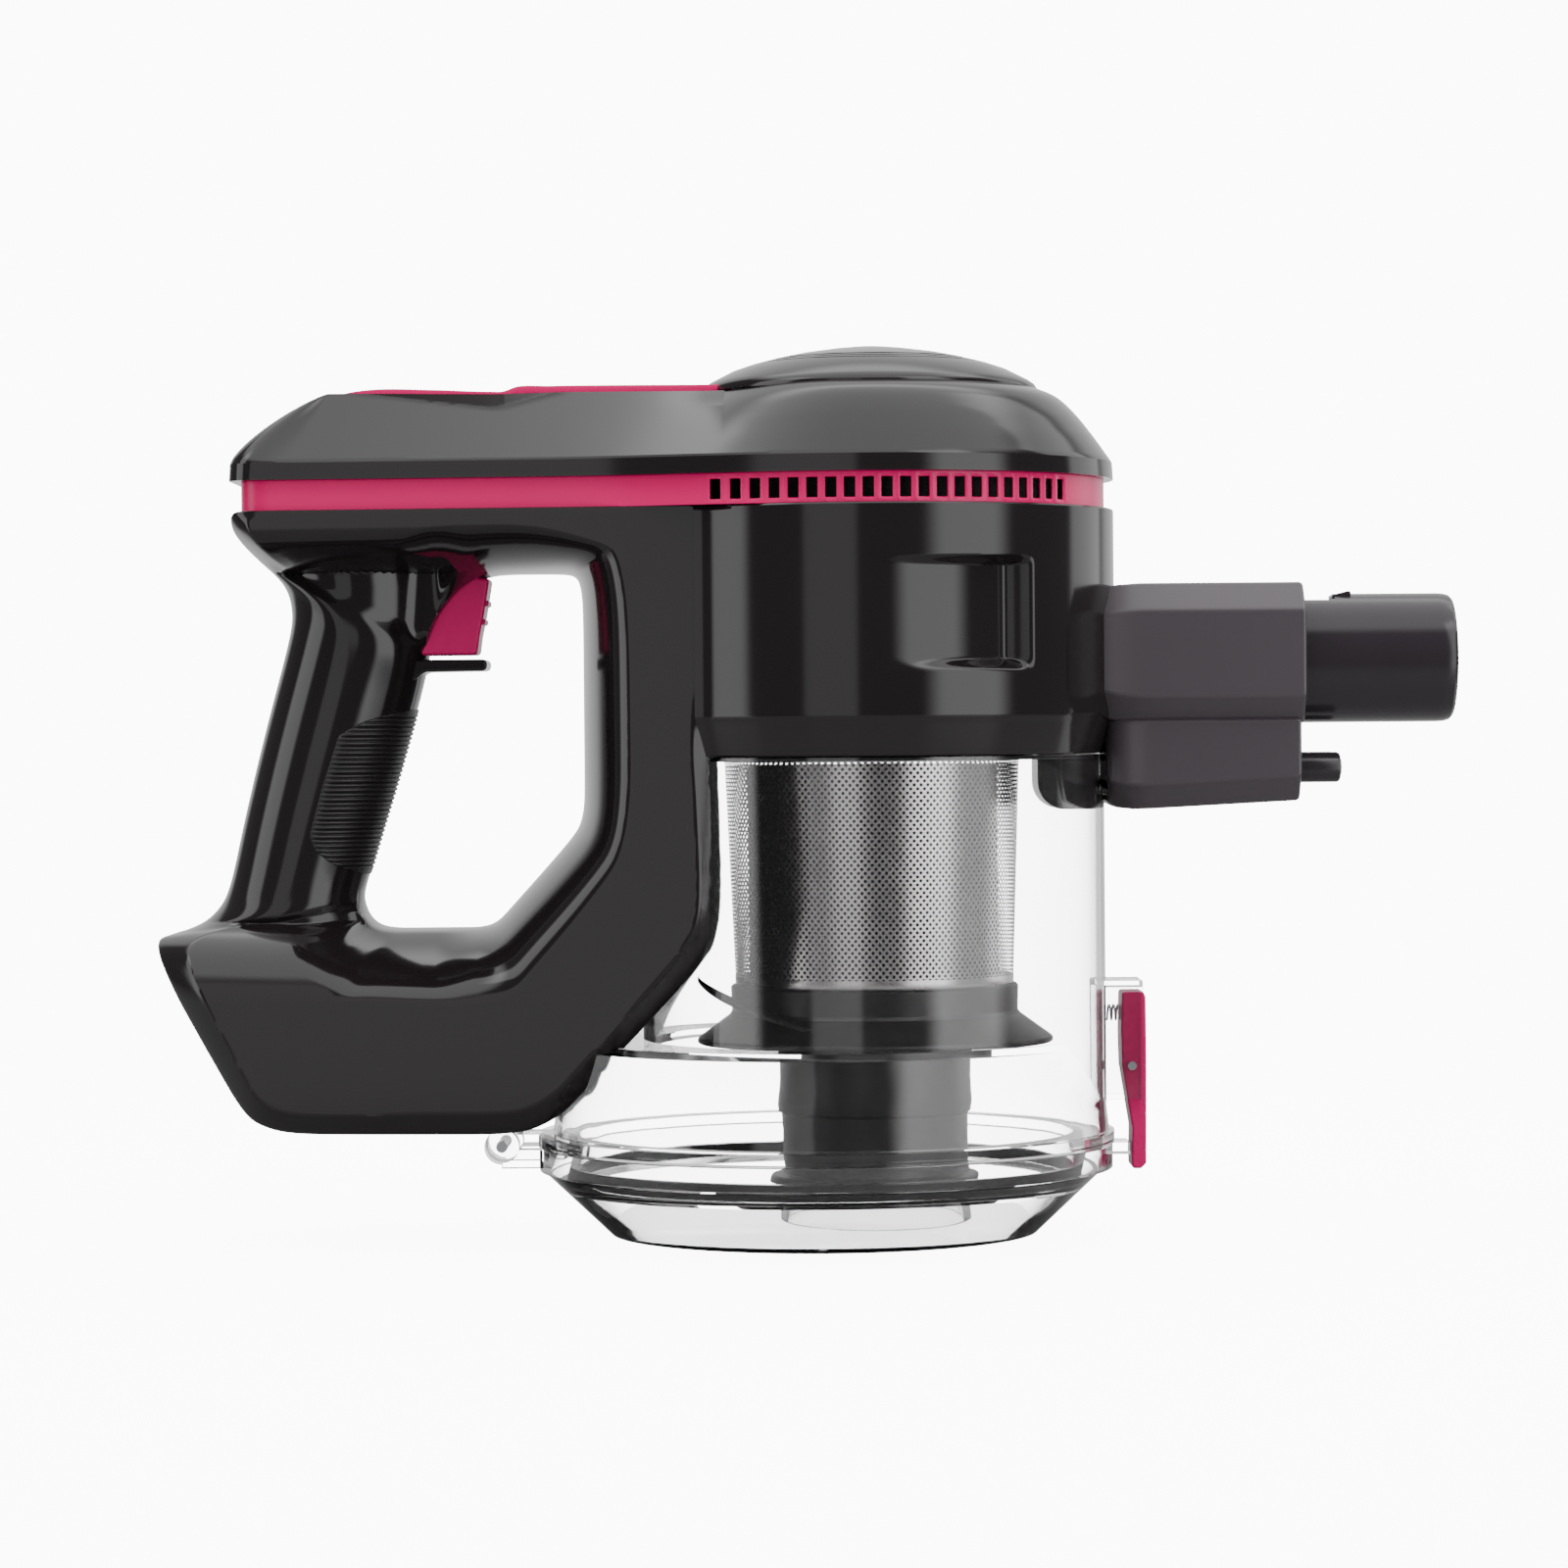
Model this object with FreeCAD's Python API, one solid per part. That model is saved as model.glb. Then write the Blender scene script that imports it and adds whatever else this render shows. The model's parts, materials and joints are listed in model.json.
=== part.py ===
import FreeCAD, Part
import math
import os

# Cordless hand vacuum, millimetres. +X towards the nozzle, +Z up, origin under the middle of the
# whole machine on the plane that the closed bin door stands on.

# ---- driving dimensions -------------------------------------------------------------------------
half_length = 175.8          # nozzle mouth and foot heel, both measured from the origin
wall = 2.5                   # moulded shell thickness
gap = 0.4                    # clearance between parts that move past each other
motor_x = 18.0               # vertical axis of motor, filter and upper cup

barrel_r = 66.0              # motor housing
collar_r = 63.0              # lower edge of the collar, same as the cup
collar_z = 129.7
chamfer_top_z = 140.0
band_z = 195.7
cover_z = 203.8
lip_z = 209.5
flank_w = 50.0               # half width of the flat side at flank_x
flank_x = -21.0
flank_slope = 0.0875         # half width lost per mm towards the rear
deck_rear_x = -153.0
band_inset = 2.5
band_wall = 2.0
ledge_inset = 5.0

handle_depth_y = 60.0        # more than any half width, for cutting tools
bevel_inner_y = 33.0
bevel_outer_y = 52.0
bevel_spread = 19.0

slot_count = 21
slot_w = 3.0
slot_z0 = 197.0
slot_z1 = 202.3
slot_first_deg = -36.8
slot_last_deg = 51.4

dome_r = 45.4
dome_z = 228.9
inlay_w = 20.0
inlay_t = 2.4

trigger_w = 8.5
trigger_pivot = (-96.0, 185.5)
trigger_pin_r = 1.5
button_x = -99.0
button_r = 7.0
lens_x = -84.0
lens_pitch = 6.0
lens_r = 1.3

cell_r = 9.2
cell_length = 65.0
cell_columns = (-132.0, -113.0, -94.0)
cell_rows = (45.1, 64.1)
holder_half_y = (24.0, 30.0)

nozzle_r = 17.5
nozzle_seat_r = 17.2
nozzle_bore_r = 14.5
nozzle_z = 155.0
nozzle_seat_x = 96.0
block_x = 134.0
plug_r = 4.1
plug_seat_r = 3.6
plug_z = 125.4
contact_r = 2.0
plug_y = 7.0
plug_end_x = 144.6

cup_wall = 2.2
cup_gap = 0.7
cup_top_z = 129.4
shoulder_z = 53.0
bin_x = 6.0
bin_top_r = 73.0
bin_bottom_r = 76.0
rim_r = 78.5
rim_z = 24.3
rim_top_z = 27.5
door_x = 4.6
door_r = 78.0
door_flange_z = 17.6
door_bottom_r = 58.0
door_bottom_x = 4.0
hinge_x = -83.0
hinge_z = 24.8
knuckle_r = 4.7
knuckle_y = (9.0, 9.4, 16.0)
seal_r = (67.2, 70.0)
pin_r = 1.5
pin_clear = 0.05

latch_x = 87.5
latch_z = 45.0
latch_w = 8.0
latch_pin_r = 1.2
ear_y = (8.4, 10.6)

mesh_top_r = 40.0
mesh_low_r = 37.8
mesh_low_z = 67.5
mesh_wall = 0.8

shaft_r = 2.5
impeller_r = 37.0
blade_count = 9
screw_shank_r = 1.4
screw_head_r = 2.8
boss_r = 4.2


# ---- general makers -----------------------------------------------------------------------------
def vec(x, y, z):
    return FreeCAD.Vector(x, y, z)


def block(x0, x1, y0, y1, z0, z1):
    """Box between two corners."""
    return Part.makeBox(x1 - x0, y1 - y0, z1 - z0, vec(x0, y0, z0))


def post(r, z0, z1, x=motor_x, y=0.0):
    """Upright cylinder."""
    return Part.makeCylinder(r, z1 - z0, vec(x, y, z0))


def rod_x(r, x0, x1, y, z):
    return Part.makeCylinder(r, x1 - x0, vec(x0, y, z), vec(1, 0, 0))


def rod_y(r, y0, y1, x, z):
    return Part.makeCylinder(r, y1 - y0, vec(x, y0, z), vec(0, 1, 0))


def ring(r_in, r_out, z0, z1, x=motor_x):
    return post(r_out, z0, z1, x).cut(post(r_in, z0 - 1, z1 + 1, x))


def prism_y(points, y0, y1):
    """Side outline of (x, z) points carried across from y0 to y1."""
    wire = Part.makePolygon([vec(x, y0, z) for x, z in points + points[:1]])
    return Part.Face(wire).extrude(vec(0, y1 - y0, 0))


def prism_z(points, z0, z1):
    """Plan outline of (x, y) points carried up from z0 to z1."""
    wire = Part.makePolygon([vec(x, y, z0) for x, y in points + points[:1]])
    return Part.Face(wire).extrude(vec(0, 0, z1 - z0))


def prism_x(points, x0, x1):
    """End outline of (y, z) points carried along from x0 to x1."""
    wire = Part.makePolygon([vec(x0, y, z) for y, z in points + points[:1]])
    return Part.Face(wire).extrude(vec(x1 - x0, 0, 0))


def turned(profile, x=motor_x):
    """Profile of (radius, z) points turned about the upright axis at x."""
    wire = Part.makePolygon([vec(x + r, 0, z) for r, z in profile + profile[:1]])
    return Part.Face(wire).revolve(vec(x, 0, 0), vec(0, 0, 1), 360)


def mirrored(points):
    """Closed outline from the +Y half of a symmetric one, given as (a, y or b) pairs."""
    return points + [(a, -b) for a, b in reversed(points)]


def side_wire(points, y, spread=0.0):
    """Wire of (x, z) points in the plane at y, grown outwards by spread."""
    wire = Part.makePolygon([vec(x, y, z) for x, z in points + points[:1]])
    if spread:
        wire = wire.makeOffset2D(spread, 2, False, False)
    return wire


def grown_prism(points, y0, y1, spread):
    face = Part.Face(side_wire(points, y0, spread))
    return face.extrude(vec(0, y1 - y0, 0))


def both_sides(shape):
    """The shape and its mirror image through the centre plane."""
    return shape.fuse(shape.mirror(vec(0, 0, 0), vec(0, 1, 0)))


def coil_spring(start, direction, length, r, wire_r, turns):
    """Round-wire compression spring along direction."""
    helix = Part.makeHelix(length / turns, length, r)
    section = Part.Wire(Part.makeCircle(wire_r, vec(r, 0, 0), vec(0, 1, 0)))
    spring = Part.Wire(helix).makePipeShell([section], True, True)
    turn = FreeCAD.Rotation(vec(0, 0, 1), vec(*direction))
    spring.Placement = FreeCAD.Placement(vec(*start), turn)
    return spring


# ---- outlines shared by several parts -----------------------------------------------------------
def half_width(x):
    """Half width of the flat sides, which close in towards the rear."""
    return flank_w + flank_slope * (x - flank_x)


def plan_outline(inset, rear_x, front_x=motor_x, corner=7.0):
    """Tapered rear part of the plan, with its corners cut."""
    rear = rear_x + inset
    side = half_width(rear) - inset
    front = half_width(front_x) - inset
    cut = corner - 0.4 * inset
    return mirrored([(rear, side - cut), (rear + cut, side), (front_x, front)])


def plan_body(inset, z0, z1, rear_x=deck_rear_x):
    """Round front joined to the tapered rear, from z0 to z1."""
    rear = prism_z(plan_outline(inset, rear_x), z0, z1)
    return post(barrel_r - inset, z0, z1).fuse(rear).removeSplitter()


# Side outline of deck, arm and foot in one C, and the outline of the space that it goes round.
opening = [(-260.0, 179.5), (-64.0, 179.5), (-60.4, 173.0), (-60.4, 111.0),
           (-84.0, 85.2), (-88.8, 83.6), (-260.0, 83.6)]
ring_side = [(-176.0, 200.0), (-176.0, 81.6), (-167.6, 65.0), (-152.8, 39.3), (-148.9, 34.0),
             (-139.3, 30.3), (-84.0, 30.2), (-73.6, 31.0), (-64.5, 36.0), (-57.5, 44.0),
             (-45.0, 57.0), (-32.0, 71.0), (-23.6, 81.0), (-21.0, 96.0), (-21.0, 200.0)]
foot_edge = [(36.0, 29.8), (46.0, 39.8), (60.0, 53.8), (60.0, 260.0),
             (-60.0, 260.0), (-60.0, 53.8), (-46.0, 39.8), (-36.0, 29.8)]
# Centre x, half depth, half width and z of the grip's oval sections.
grip_sections = [(-139.0, 25.0, 24.0, 76.0), (-139.4, 19.2, 19.5, 90.0), (-136.4, 18.6, 19.0, 106.0),
                 (-125.9, 20.1, 19.0, 143.0), (-121.8, 18.7, 18.5, 163.0), (-121.5, 19.2, 19.5, 176.0),
                 (-123.0, 25.0, 24.0, 187.0)]


def grip(inset):
    """Oval handle lofted from foot to deck."""
    wires = []
    for cx, depth, width, z in grip_sections:
        long_r, short_r = depth - inset, width - inset
        major = vec(cx + long_r, 0, z) if long_r >= short_r else vec(cx, short_r, z)
        minor = vec(cx, short_r, z) if long_r >= short_r else vec(cx - long_r, 0, z)
        oval = Part.Ellipse(major, minor, vec(cx, 0, z))
        wires.append(Part.Wire(oval.toShape()))
    return Part.makeLoft(wires, True, False)


def cup_volume(inset, low, high):
    """Round cup over the wider bin, whose axis stands further back."""
    upper = post(collar_r - inset, low, high)
    lower = turned([(0, -5), (bin_bottom_r - inset, -5), (bin_bottom_r - inset, rim_z),
                    (bin_top_r - inset, shoulder_z - inset), (0, shoulder_z - inset)], bin_x)
    return upper.fuse(lower.common(block(-150, 150, -100, 100, low, high)))


def opening_tool(inset):
    """Hand opening with its bevelled edges, grown by inset."""
    through = grown_prism(opening, -handle_depth_y, handle_depth_y, inset)
    narrow = side_wire(opening, bevel_inner_y - inset, inset)
    wide = side_wire(opening, bevel_outer_y - inset, inset + bevel_spread)
    return through.fuse(both_sides(Part.makeLoft([narrow, wide], True, True)))


def arm_and_foot(inset):
    """C-shaped body: deck, arm and foot, before the grip closes it."""
    side = grown_prism(ring_side, -handle_depth_y, handle_depth_y, -inset)
    plan = prism_z(mirrored([(-176.0 + inset, 30.0), (-170.0, half_width(-170.0) - inset),
                             (flank_x - 8.0, half_width(flank_x - 8.0) - inset),
                             (flank_x - inset, 42.0 - inset)]), 0, band_z)
    edge = prism_x(foot_edge, -200, 0)
    edge.translate(vec(0, 0, 1.4 * inset))
    body = side.common(plan).common(edge).cut(cup_volume(-cup_gap - inset, 0.0, collar_z + 0.6 * inset))
    rear_cut = block(-260, deck_rear_x + inset, -90, 90, 90, 260)
    return body.cut(rear_cut).cut(opening_tool(inset))


def side_pocket(inset):
    """Shallow slanted recess at the front of the barrel's side."""
    plan = [(18.0, -70.0), (18.0, -66.2 + inset), (52.0 + 0.3 * inset, -50.0 + inset),
            (60.5 + inset, -50.5 + inset), (63.0 + inset, -70.0)]
    return prism_z(plan, 155.0 - inset, 180.5 + inset)


def barrel(inset):
    """Round motor housing with its chamfered collar and the deck's flat rear sides."""
    upper = plan_body(inset, chamfer_top_z, band_z)
    keep = prism_y([(-200, 182 + inset), (-50, 182 + inset), (-42, 160), (-42, 100), (120, 100),
                    (120, 260), (-200, 260)], -90, 90)
    upper = upper.common(keep)
    collar = turned([(0, collar_z), (collar_r - inset, collar_z), (barrel_r - inset, chamfer_top_z),
                     (0, chamfer_top_z)])
    flat = block(flank_x - 14, 100, -90, 90, 0, 300)
    return both_pockets(upper.fuse(collar.common(flat)), inset)


def both_pockets(body, inset):
    pocket = side_pocket(inset)
    return body.cut(both_sides(pocket))


def deck_skin(inset):
    """Rear deck's straight sides between the hand opening and the vent band."""
    deck = prism_z(plan_outline(inset, deck_rear_x), 179.5 + inset, band_z)
    return deck.cut(opening_tool(inset))


def screw_places():
    """Centres (x, z) of the screws that join the two housing halves."""
    return [(-150.0, 52.0), (-140.0, 85.0), (-131.0, 128.0),
            (-68.0, 66.0), (-53.0, 90.0), (-53.0, 128.0)]


def trigger_slot():
    return block(-114.0, -78.0, -trigger_w - 0.8, trigger_w + 0.8, 156.4, 186.5)


def outer_housing():
    body = arm_and_foot(0.0).fuse(barrel(0.0)).fuse(deck_skin(0.0)).fuse(grip(0.0))
    guard = block(-108.0, -86.5, -10.0, 10.0, 153.5, 155.6)
    return body.fuse(guard)


def inner_housing():
    """Space inside the shell, open at the top under the vent band."""
    body = arm_and_foot(wall).fuse(barrel(wall).cut(post(100, 100, collar_z + wall)))
    body = body.fuse(deck_skin(wall)).fuse(grip(wall))
    rim = plan_body(ledge_inset, band_z - 4.0, band_z + 1.0)
    keep = body.cut(block(-260, 200, -100, 100, band_z - 4.0, band_z + 20.0))
    return keep.fuse(rim)


def housing_shell():
    shell = outer_housing().cut(inner_housing())
    shell = shell.cut(post(42.0, 100, collar_z + wall + 1))
    shell = shell.cut(trigger_slot())
    shell = shell.cut(rod_x(5.7, -190, -150, 0, 73.0))
    outside = outer_housing()
    bosses = [rod_y(boss_r, -60, 60, x, z).common(outside) for x, z in screw_places()]
    lugs = both_sides(block(-99.5, -92.5, 10.0, 14.0, 180.5, 189.0))
    shell = shell.fuse(bosses).fuse(lugs)
    shell = shell.cut(rod_y(trigger_pin_r, -20, 20, *trigger_pivot))
    for x, z in screw_places():
        shell = shell.cut(rod_y(screw_shank_r + pin_clear, -12.5, 60, x, z))
        shell = shell.cut(rod_y(screw_head_r + 0.3, 11.0, 60, x, z))
    return shell.removeSplitter()


# ---- housing and covers -------------------------------------------------------------------------
def housing_half(shell, sign):
    """The part of the shell on one side of the centre plane, without loose chips."""
    low, high = (0.0, 100.0) if sign > 0 else (-100.0, 0.0)
    half = shell.common(block(-260, 200, low, high, -10, 300))
    return max(half.Solids, key=lambda solid: solid.Volume)


def cover_body(inset):
    """Top cover: round shouldered front and a rear of flat slanting faces."""
    round_part = turned([(0, cover_z), (barrel_r - inset, cover_z), (65.5 - inset, lip_z - 0.5),
                         (60 - inset, 216 - inset), (56 - inset, 221 - inset),
                         (51 - inset, 226 - inset), (45.5 - inset, 228.7 - inset), (0, 228.7 - inset)])
    side = prism_y([(-153 + inset, cover_z), (-153 + inset, 208.5), (-149.5 + inset, 212.5),
                    (-143.5 + inset, 218.5 - 0.4 * inset), (-137.6 + inset, 223.5 - 0.8 * inset),
                    (-132.4 + inset, 226 - inset), (-126.5, 227.6 - inset),
                    (motor_x, 227.6 - inset), (motor_x, cover_z)], -90, 90)
    end = prism_x([(-60, cover_z), (60, cover_z), (60, 205.5 - inset), (22, 227.6 - inset),
                   (-22, 227.6 - inset), (-60, 205.5 - inset)], -200, motor_x)
    rear = prism_z(plan_outline(inset, deck_rear_x), cover_z, 240)
    return round_part.fuse(side.common(end).common(rear))


def top_cover():
    shell = cover_body(0.0).cut(cover_body(wall).cut(block(-260, 200, -90, 90, 0, cover_z + 2.5)))
    shell = shell.cut(plan_body(ledge_inset, cover_z - 1, cover_z + 2.6))
    recess = block(-126.5, -20.0, -inlay_w, inlay_w, 227.6 - inlay_t + 1.0, 240)
    shell = shell.cut(recess.cut(post(dome_r - 1.0, 200, 260)))
    shell = shell.cut(post(button_r + gap, 200, 260, button_x))
    for step in (-1, 0, 1):
        shell = shell.cut(post(lens_r + pin_clear, 200, 260, lens_x, step * lens_pitch))
    return shell.removeSplitter()


def top_inlay():
    """Bright strip let into the cover, dished at the rear and raised in front."""
    low = 227.6 - inlay_t + 1.0
    side = prism_y([(-126.0, low), (-126.0, 227.6), (-118, 229.0), (-84, 228.3), (-81, 228.3),
                    (-77, 229.7), (-21.0, 229.7), (-21.0, low)], -inlay_w + 0.3, inlay_w - 0.3)
    side = side.cut(post(dome_r + 0.2, 200, 260)).cut(post(button_r + gap, 200, 260, button_x))
    for step in (-1, 0, 1):
        side = side.cut(post(lens_r + pin_clear, 200, 260, lens_x, step * lens_pitch))
    return side


def dome_cap():
    """Shallow dome over the motor, hollow below, with three turned grooves."""
    shell = turned([(0, 240.8), (10.7, 239.9), (27.2, 237.2), (37.4, 234), (dome_r, 230.7),
                    (dome_r, dome_z), (dome_r - wall, dome_z), (36, 231.4), (26, 234.7),
                    (10.5, 237.4), (0, 238.3)])
    for r in (26.0, 28.5, 31.0):
        shell = shell.cut(ring(r, r + 0.8, 236.2 - 0.25 * (r - 26.0), 245))
    return shell


def vent_band():
    """Bright band below the cover with a row of exhaust slots on each side."""
    band = plan_body(band_inset, band_z, cover_z)
    band = band.cut(plan_body(band_inset + band_wall, band_z - 1, cover_z + 1))
    for index in range(slot_count):
        turn = slot_first_deg + (slot_last_deg - slot_first_deg) * index / (slot_count - 1)
        tool = block(motor_x - slot_w / 2, motor_x + slot_w / 2, -80, -50, slot_z0, slot_z1)
        tool.rotate(vec(motor_x, 0, 0), vec(0, 0, 1), turn)
        band = band.cut(both_sides(tool))
    return band


def exhaust_filter():
    return ring(48.0, 58.0, 192.0, 206.0)


def grip_pad():
    """Soft ribbed pad over the front of the grip."""
    skin = grip(-0.7).cut(grip(0.0))
    front = prism_y([(-100, 143.5), (-117.0, 143.5), (-120.5, 138.0), (-130.5, 107.0), (-129.0, 101.0),
                     (-124.0, 98.0), (-100, 98.0)], -30, 30)
    return skin.common(front)


# ---- motor and fan ------------------------------------------------------------------------------
def motor_seat():
    plate = ring(24.0, 61.4, 134.2, 137.2)
    foot = ring(54.0, 58.0, collar_z + wall, 134.2)
    guide = ring(38.0, 40.5, 137.2, 141.0)
    return plate.fuse(foot).fuse(guide)


def motor_gasket():
    return ring(25.0, 37.5, 137.2, 141.0)


def fan_shroud():
    floor = ring(15.0, 42.0, 141.0, 142.2)
    return floor.fuse(ring(40.6, 42.0, 142.2, 158.0))


def diffuser():
    plate = ring(10.0, 42.0, 158.0, 160.0)
    for index in range(8):
        slot = block(motor_x + 28.0, motor_x + 38.0, -4.0, 4.0, 157.0, 161.0)
        slot.rotate(vec(motor_x, 0, 0), vec(0, 0, 1), 45.0 * index)
        plate = plate.cut(slot)
    return plate


def impeller():
    wheel = ring(shaft_r, impeller_r, 153.6, 155.0).fuse(ring(shaft_r, 7.0, 145.0, 153.6))
    for index in range(blade_count):
        blade = block(motor_x + 6.0, motor_x + impeller_r - 1.5, -0.6, 0.6, 145.0, 153.6)
        blade.rotate(vec(motor_x + 6.0, 0, 0), vec(0, 0, 1), 28.0)
        blade.rotate(vec(motor_x, 0, 0), vec(0, 0, 1), 360.0 * index / blade_count)
        wheel = wheel.fuse(blade.common(post(impeller_r, 140, 160)))
    return wheel


def motor_can():
    can = ring(22.5, 24.0, 160.0, 191.5)
    can = can.fuse(ring(4.0, 22.5, 160.0, 161.5)).fuse(ring(4.0, 22.5, 190.0, 191.5))
    cups = ring(6.5, 8.0, 161.5, 166.0).fuse(ring(6.5, 8.0, 185.5, 190.0))
    return can.fuse(cups)


def motor_bearings():
    inner = shaft_r + pin_clear
    return Part.makeCompound([ring(inner, 6.5, 161.5, 166.0), ring(inner, 6.5, 185.5, 190.0)])


def motor_frame():
    """Ring with three arms that holds the motor in the middle of the barrel."""
    frame = ring(28.0, 31.0, 174.0, 186.0)
    for index in range(3):
        arm = block(motor_x + 30.0, motor_x + 63.3, -3.0, 3.0, 176.0, 184.0)
        arm.rotate(vec(motor_x, 0, 0), vec(0, 0, 1), 120.0 * index)
        frame = frame.fuse(arm)
    return frame


def motor_stator():
    return ring(17.0, 22.5, 167.0, 184.5)


def motor_rotor():
    return ring(shaft_r, 16.2, 168.0, 183.5)


def motor_shaft():
    return post(shaft_r, 145.0, 196.0)


def motor_mount():
    """Rubber sleeve between the motor can and its frame."""
    return ring(24.0, 28.0, 175.0, 185.0)


# ---- power, switch and controls -----------------------------------------------------------------
def battery_cells():
    half = cell_length / 2
    return Part.makeCompound([rod_y(cell_r, -half, half, x, z) for x in cell_columns for z in cell_rows])


def battery_holder():
    low, high = holder_half_y
    plate = block(cell_columns[0] - 11, cell_columns[-1] + 11, low, high,
                  cell_rows[0] - 10.5, cell_rows[1] + 10.5)
    for x in cell_columns:
        for z in cell_rows:
            plate = plate.cut(rod_y(cell_r + 0.1, 0, 60, x, z))
    rail = block(-124.0, -121.0, -low, low, 53.1, 56.1)
    return both_sides(plate).fuse(rail)


def bus_bars():
    strips = []
    for x in cell_columns:
        for y in (-cell_length / 2 - 0.4, cell_length / 2):
            strips.append(block(x - 3.0, x + 3.0, y, y + 0.4, cell_rows[0] - 3.0, cell_rows[1] + 3.0))
    return Part.makeCompound(strips)


def battery_board():
    return block(-140.0, -86.0, -20.0, 20.0, 76.2, 77.8)


def control_board():
    return block(-130.0, -66.0, -18.0, 18.0, 208.4, 210.0)


def tact_switch():
    body = block(button_x - 3.0, button_x + 3.0, -3.0, 3.0, 210.0, 211.8)
    return body.fuse(post(1.5, 211.8, 212.4, button_x))


def indicator_lights():
    lenses = [post(lens_r, 211.0, 228.3, lens_x, step * lens_pitch) for step in (-1, 0, 1)]
    return Part.makeCompound(lenses)


def mode_button():
    cap = post(button_r, 222.6, 228.3, button_x).fuse(post(button_r + 1.4, 220.6, 222.6, button_x))
    return cap.fuse(post(2.4, 213.4, 220.6, button_x))


def trigger():
    """Finger lever hung from its pin, with two ridges on the front."""
    side = prism_y([(-85.3, 178.4), (-86.4, 170.0), (-88.2, 163.0), (-88.8, 157.5), (-106.0, 157.5),
                    (-106.0, 172.0), (-103.0, 180.0), (-100.0, 185.0), (-96.0, 189.0), (-92.5, 187.5),
                    (-91.0, 183.0), (-89.5, 178.6)], -trigger_w, trigger_w)
    for x, z in ((-86.6, 171.5), (-87.6, 166.5)):
        side = side.fuse(rod_y(0.9, -trigger_w + 1, trigger_w - 1, x, z))
    return side.cut(rod_y(trigger_pin_r + pin_clear, -20, 20, *trigger_pivot))


def trigger_pin():
    return rod_y(trigger_pin_r, -14.0, 14.0, *trigger_pivot)


def trigger_switch():
    body = block(-124.0, -114.5, -4.0, 4.0, 158.0, 176.0)
    return body.fuse(rod_x(1.4, -114.5, -111.0, 0.0, 162.0))


def trigger_spring():
    return coil_spring((-114.1, 0, 170.5), (1, 0, 0), 7.6, 2.6, 0.3, 5)


def charge_socket():
    return rod_x(5.6, -168.0, -154.0, 0, 73.0).cut(rod_x(2.75, -180, -158.5, 0, 73.0))


def charge_contact():
    return rod_x(1.0, -167.0, -158.5, 0, 73.0)


# ---- inlet --------------------------------------------------------------------------------------
def inlet_block():
    """Two-storey inlet housing with the duct that turns down into the cup."""
    upper = prism_x([(-24.5, 147), (-24.5, 168), (-16.5, 175.4), (16.5, 175.4),
                     (24.5, 168), (24.5, 147), (18, 137.5), (-18, 137.5)], 60, block_x)
    lower = prism_x([(-20, 122), (-20, 133), (-18, 137.5), (18, 137.5),
                     (20, 133), (20, 122), (14, 116.5), (-14, 116.5)], 60, block_x - 1.0)
    body = upper.cut(post(barrel_r + 0.05, 120, 200)).fuse(lower.cut(post(barrel_r + 0.05, 100, 200)))
    snout = prism_x([(-13, 129.4), (-13, 124), (-8, 118.6), (8, 118.6), (13, 124), (13, 129.4)], 64, 90)
    body = body.fuse(snout)
    body = body.cut(rod_x(nozzle_seat_r + pin_clear, nozzle_seat_x, 200, 0, nozzle_z))
    body = body.cut(block(86, nozzle_seat_x + 0.1, -12, 12, 121, 166))
    body = body.cut(prism_x([(-11, 127.5), (-11, 124.4), (-7.4, 120.8),
                             (7.4, 120.8), (11, 124.4), (11, 127.5)], 60, 88))
    return body.cut(both_sides(rod_x(plug_seat_r, 126, 150, plug_y, plug_z))).removeSplitter()


def nozzle_tube():
    tube = rod_x(nozzle_r, block_x, half_length, 0, nozzle_z)
    tube = tube.fuse(rod_x(nozzle_seat_r, nozzle_seat_x, block_x, 0, nozzle_z))
    tube = tube.cut(rod_x(nozzle_bore_r, 90, 200, 0, nozzle_z))
    return tube.cut(block(block_x, 143.5, -7, 7, nozzle_z + 15.4, 180))


def plug_posts():
    posts = []
    for y in (-plug_y, plug_y):
        sleeve = rod_x(plug_r, block_x - 1.0, plug_end_x, y, plug_z)
        sleeve = sleeve.fuse(rod_x(plug_seat_r, 126.0, block_x - 1.0, y, plug_z))
        posts.append(sleeve.cut(rod_x(contact_r, 136.0, 150, y, plug_z)))
    return Part.makeCompound(posts)


def plug_contacts():
    pins = [rod_x(contact_r, 136.0, plug_end_x + 0.3, y, plug_z) for y in (-plug_y, plug_y)]
    return Part.makeCompound(pins)


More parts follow.
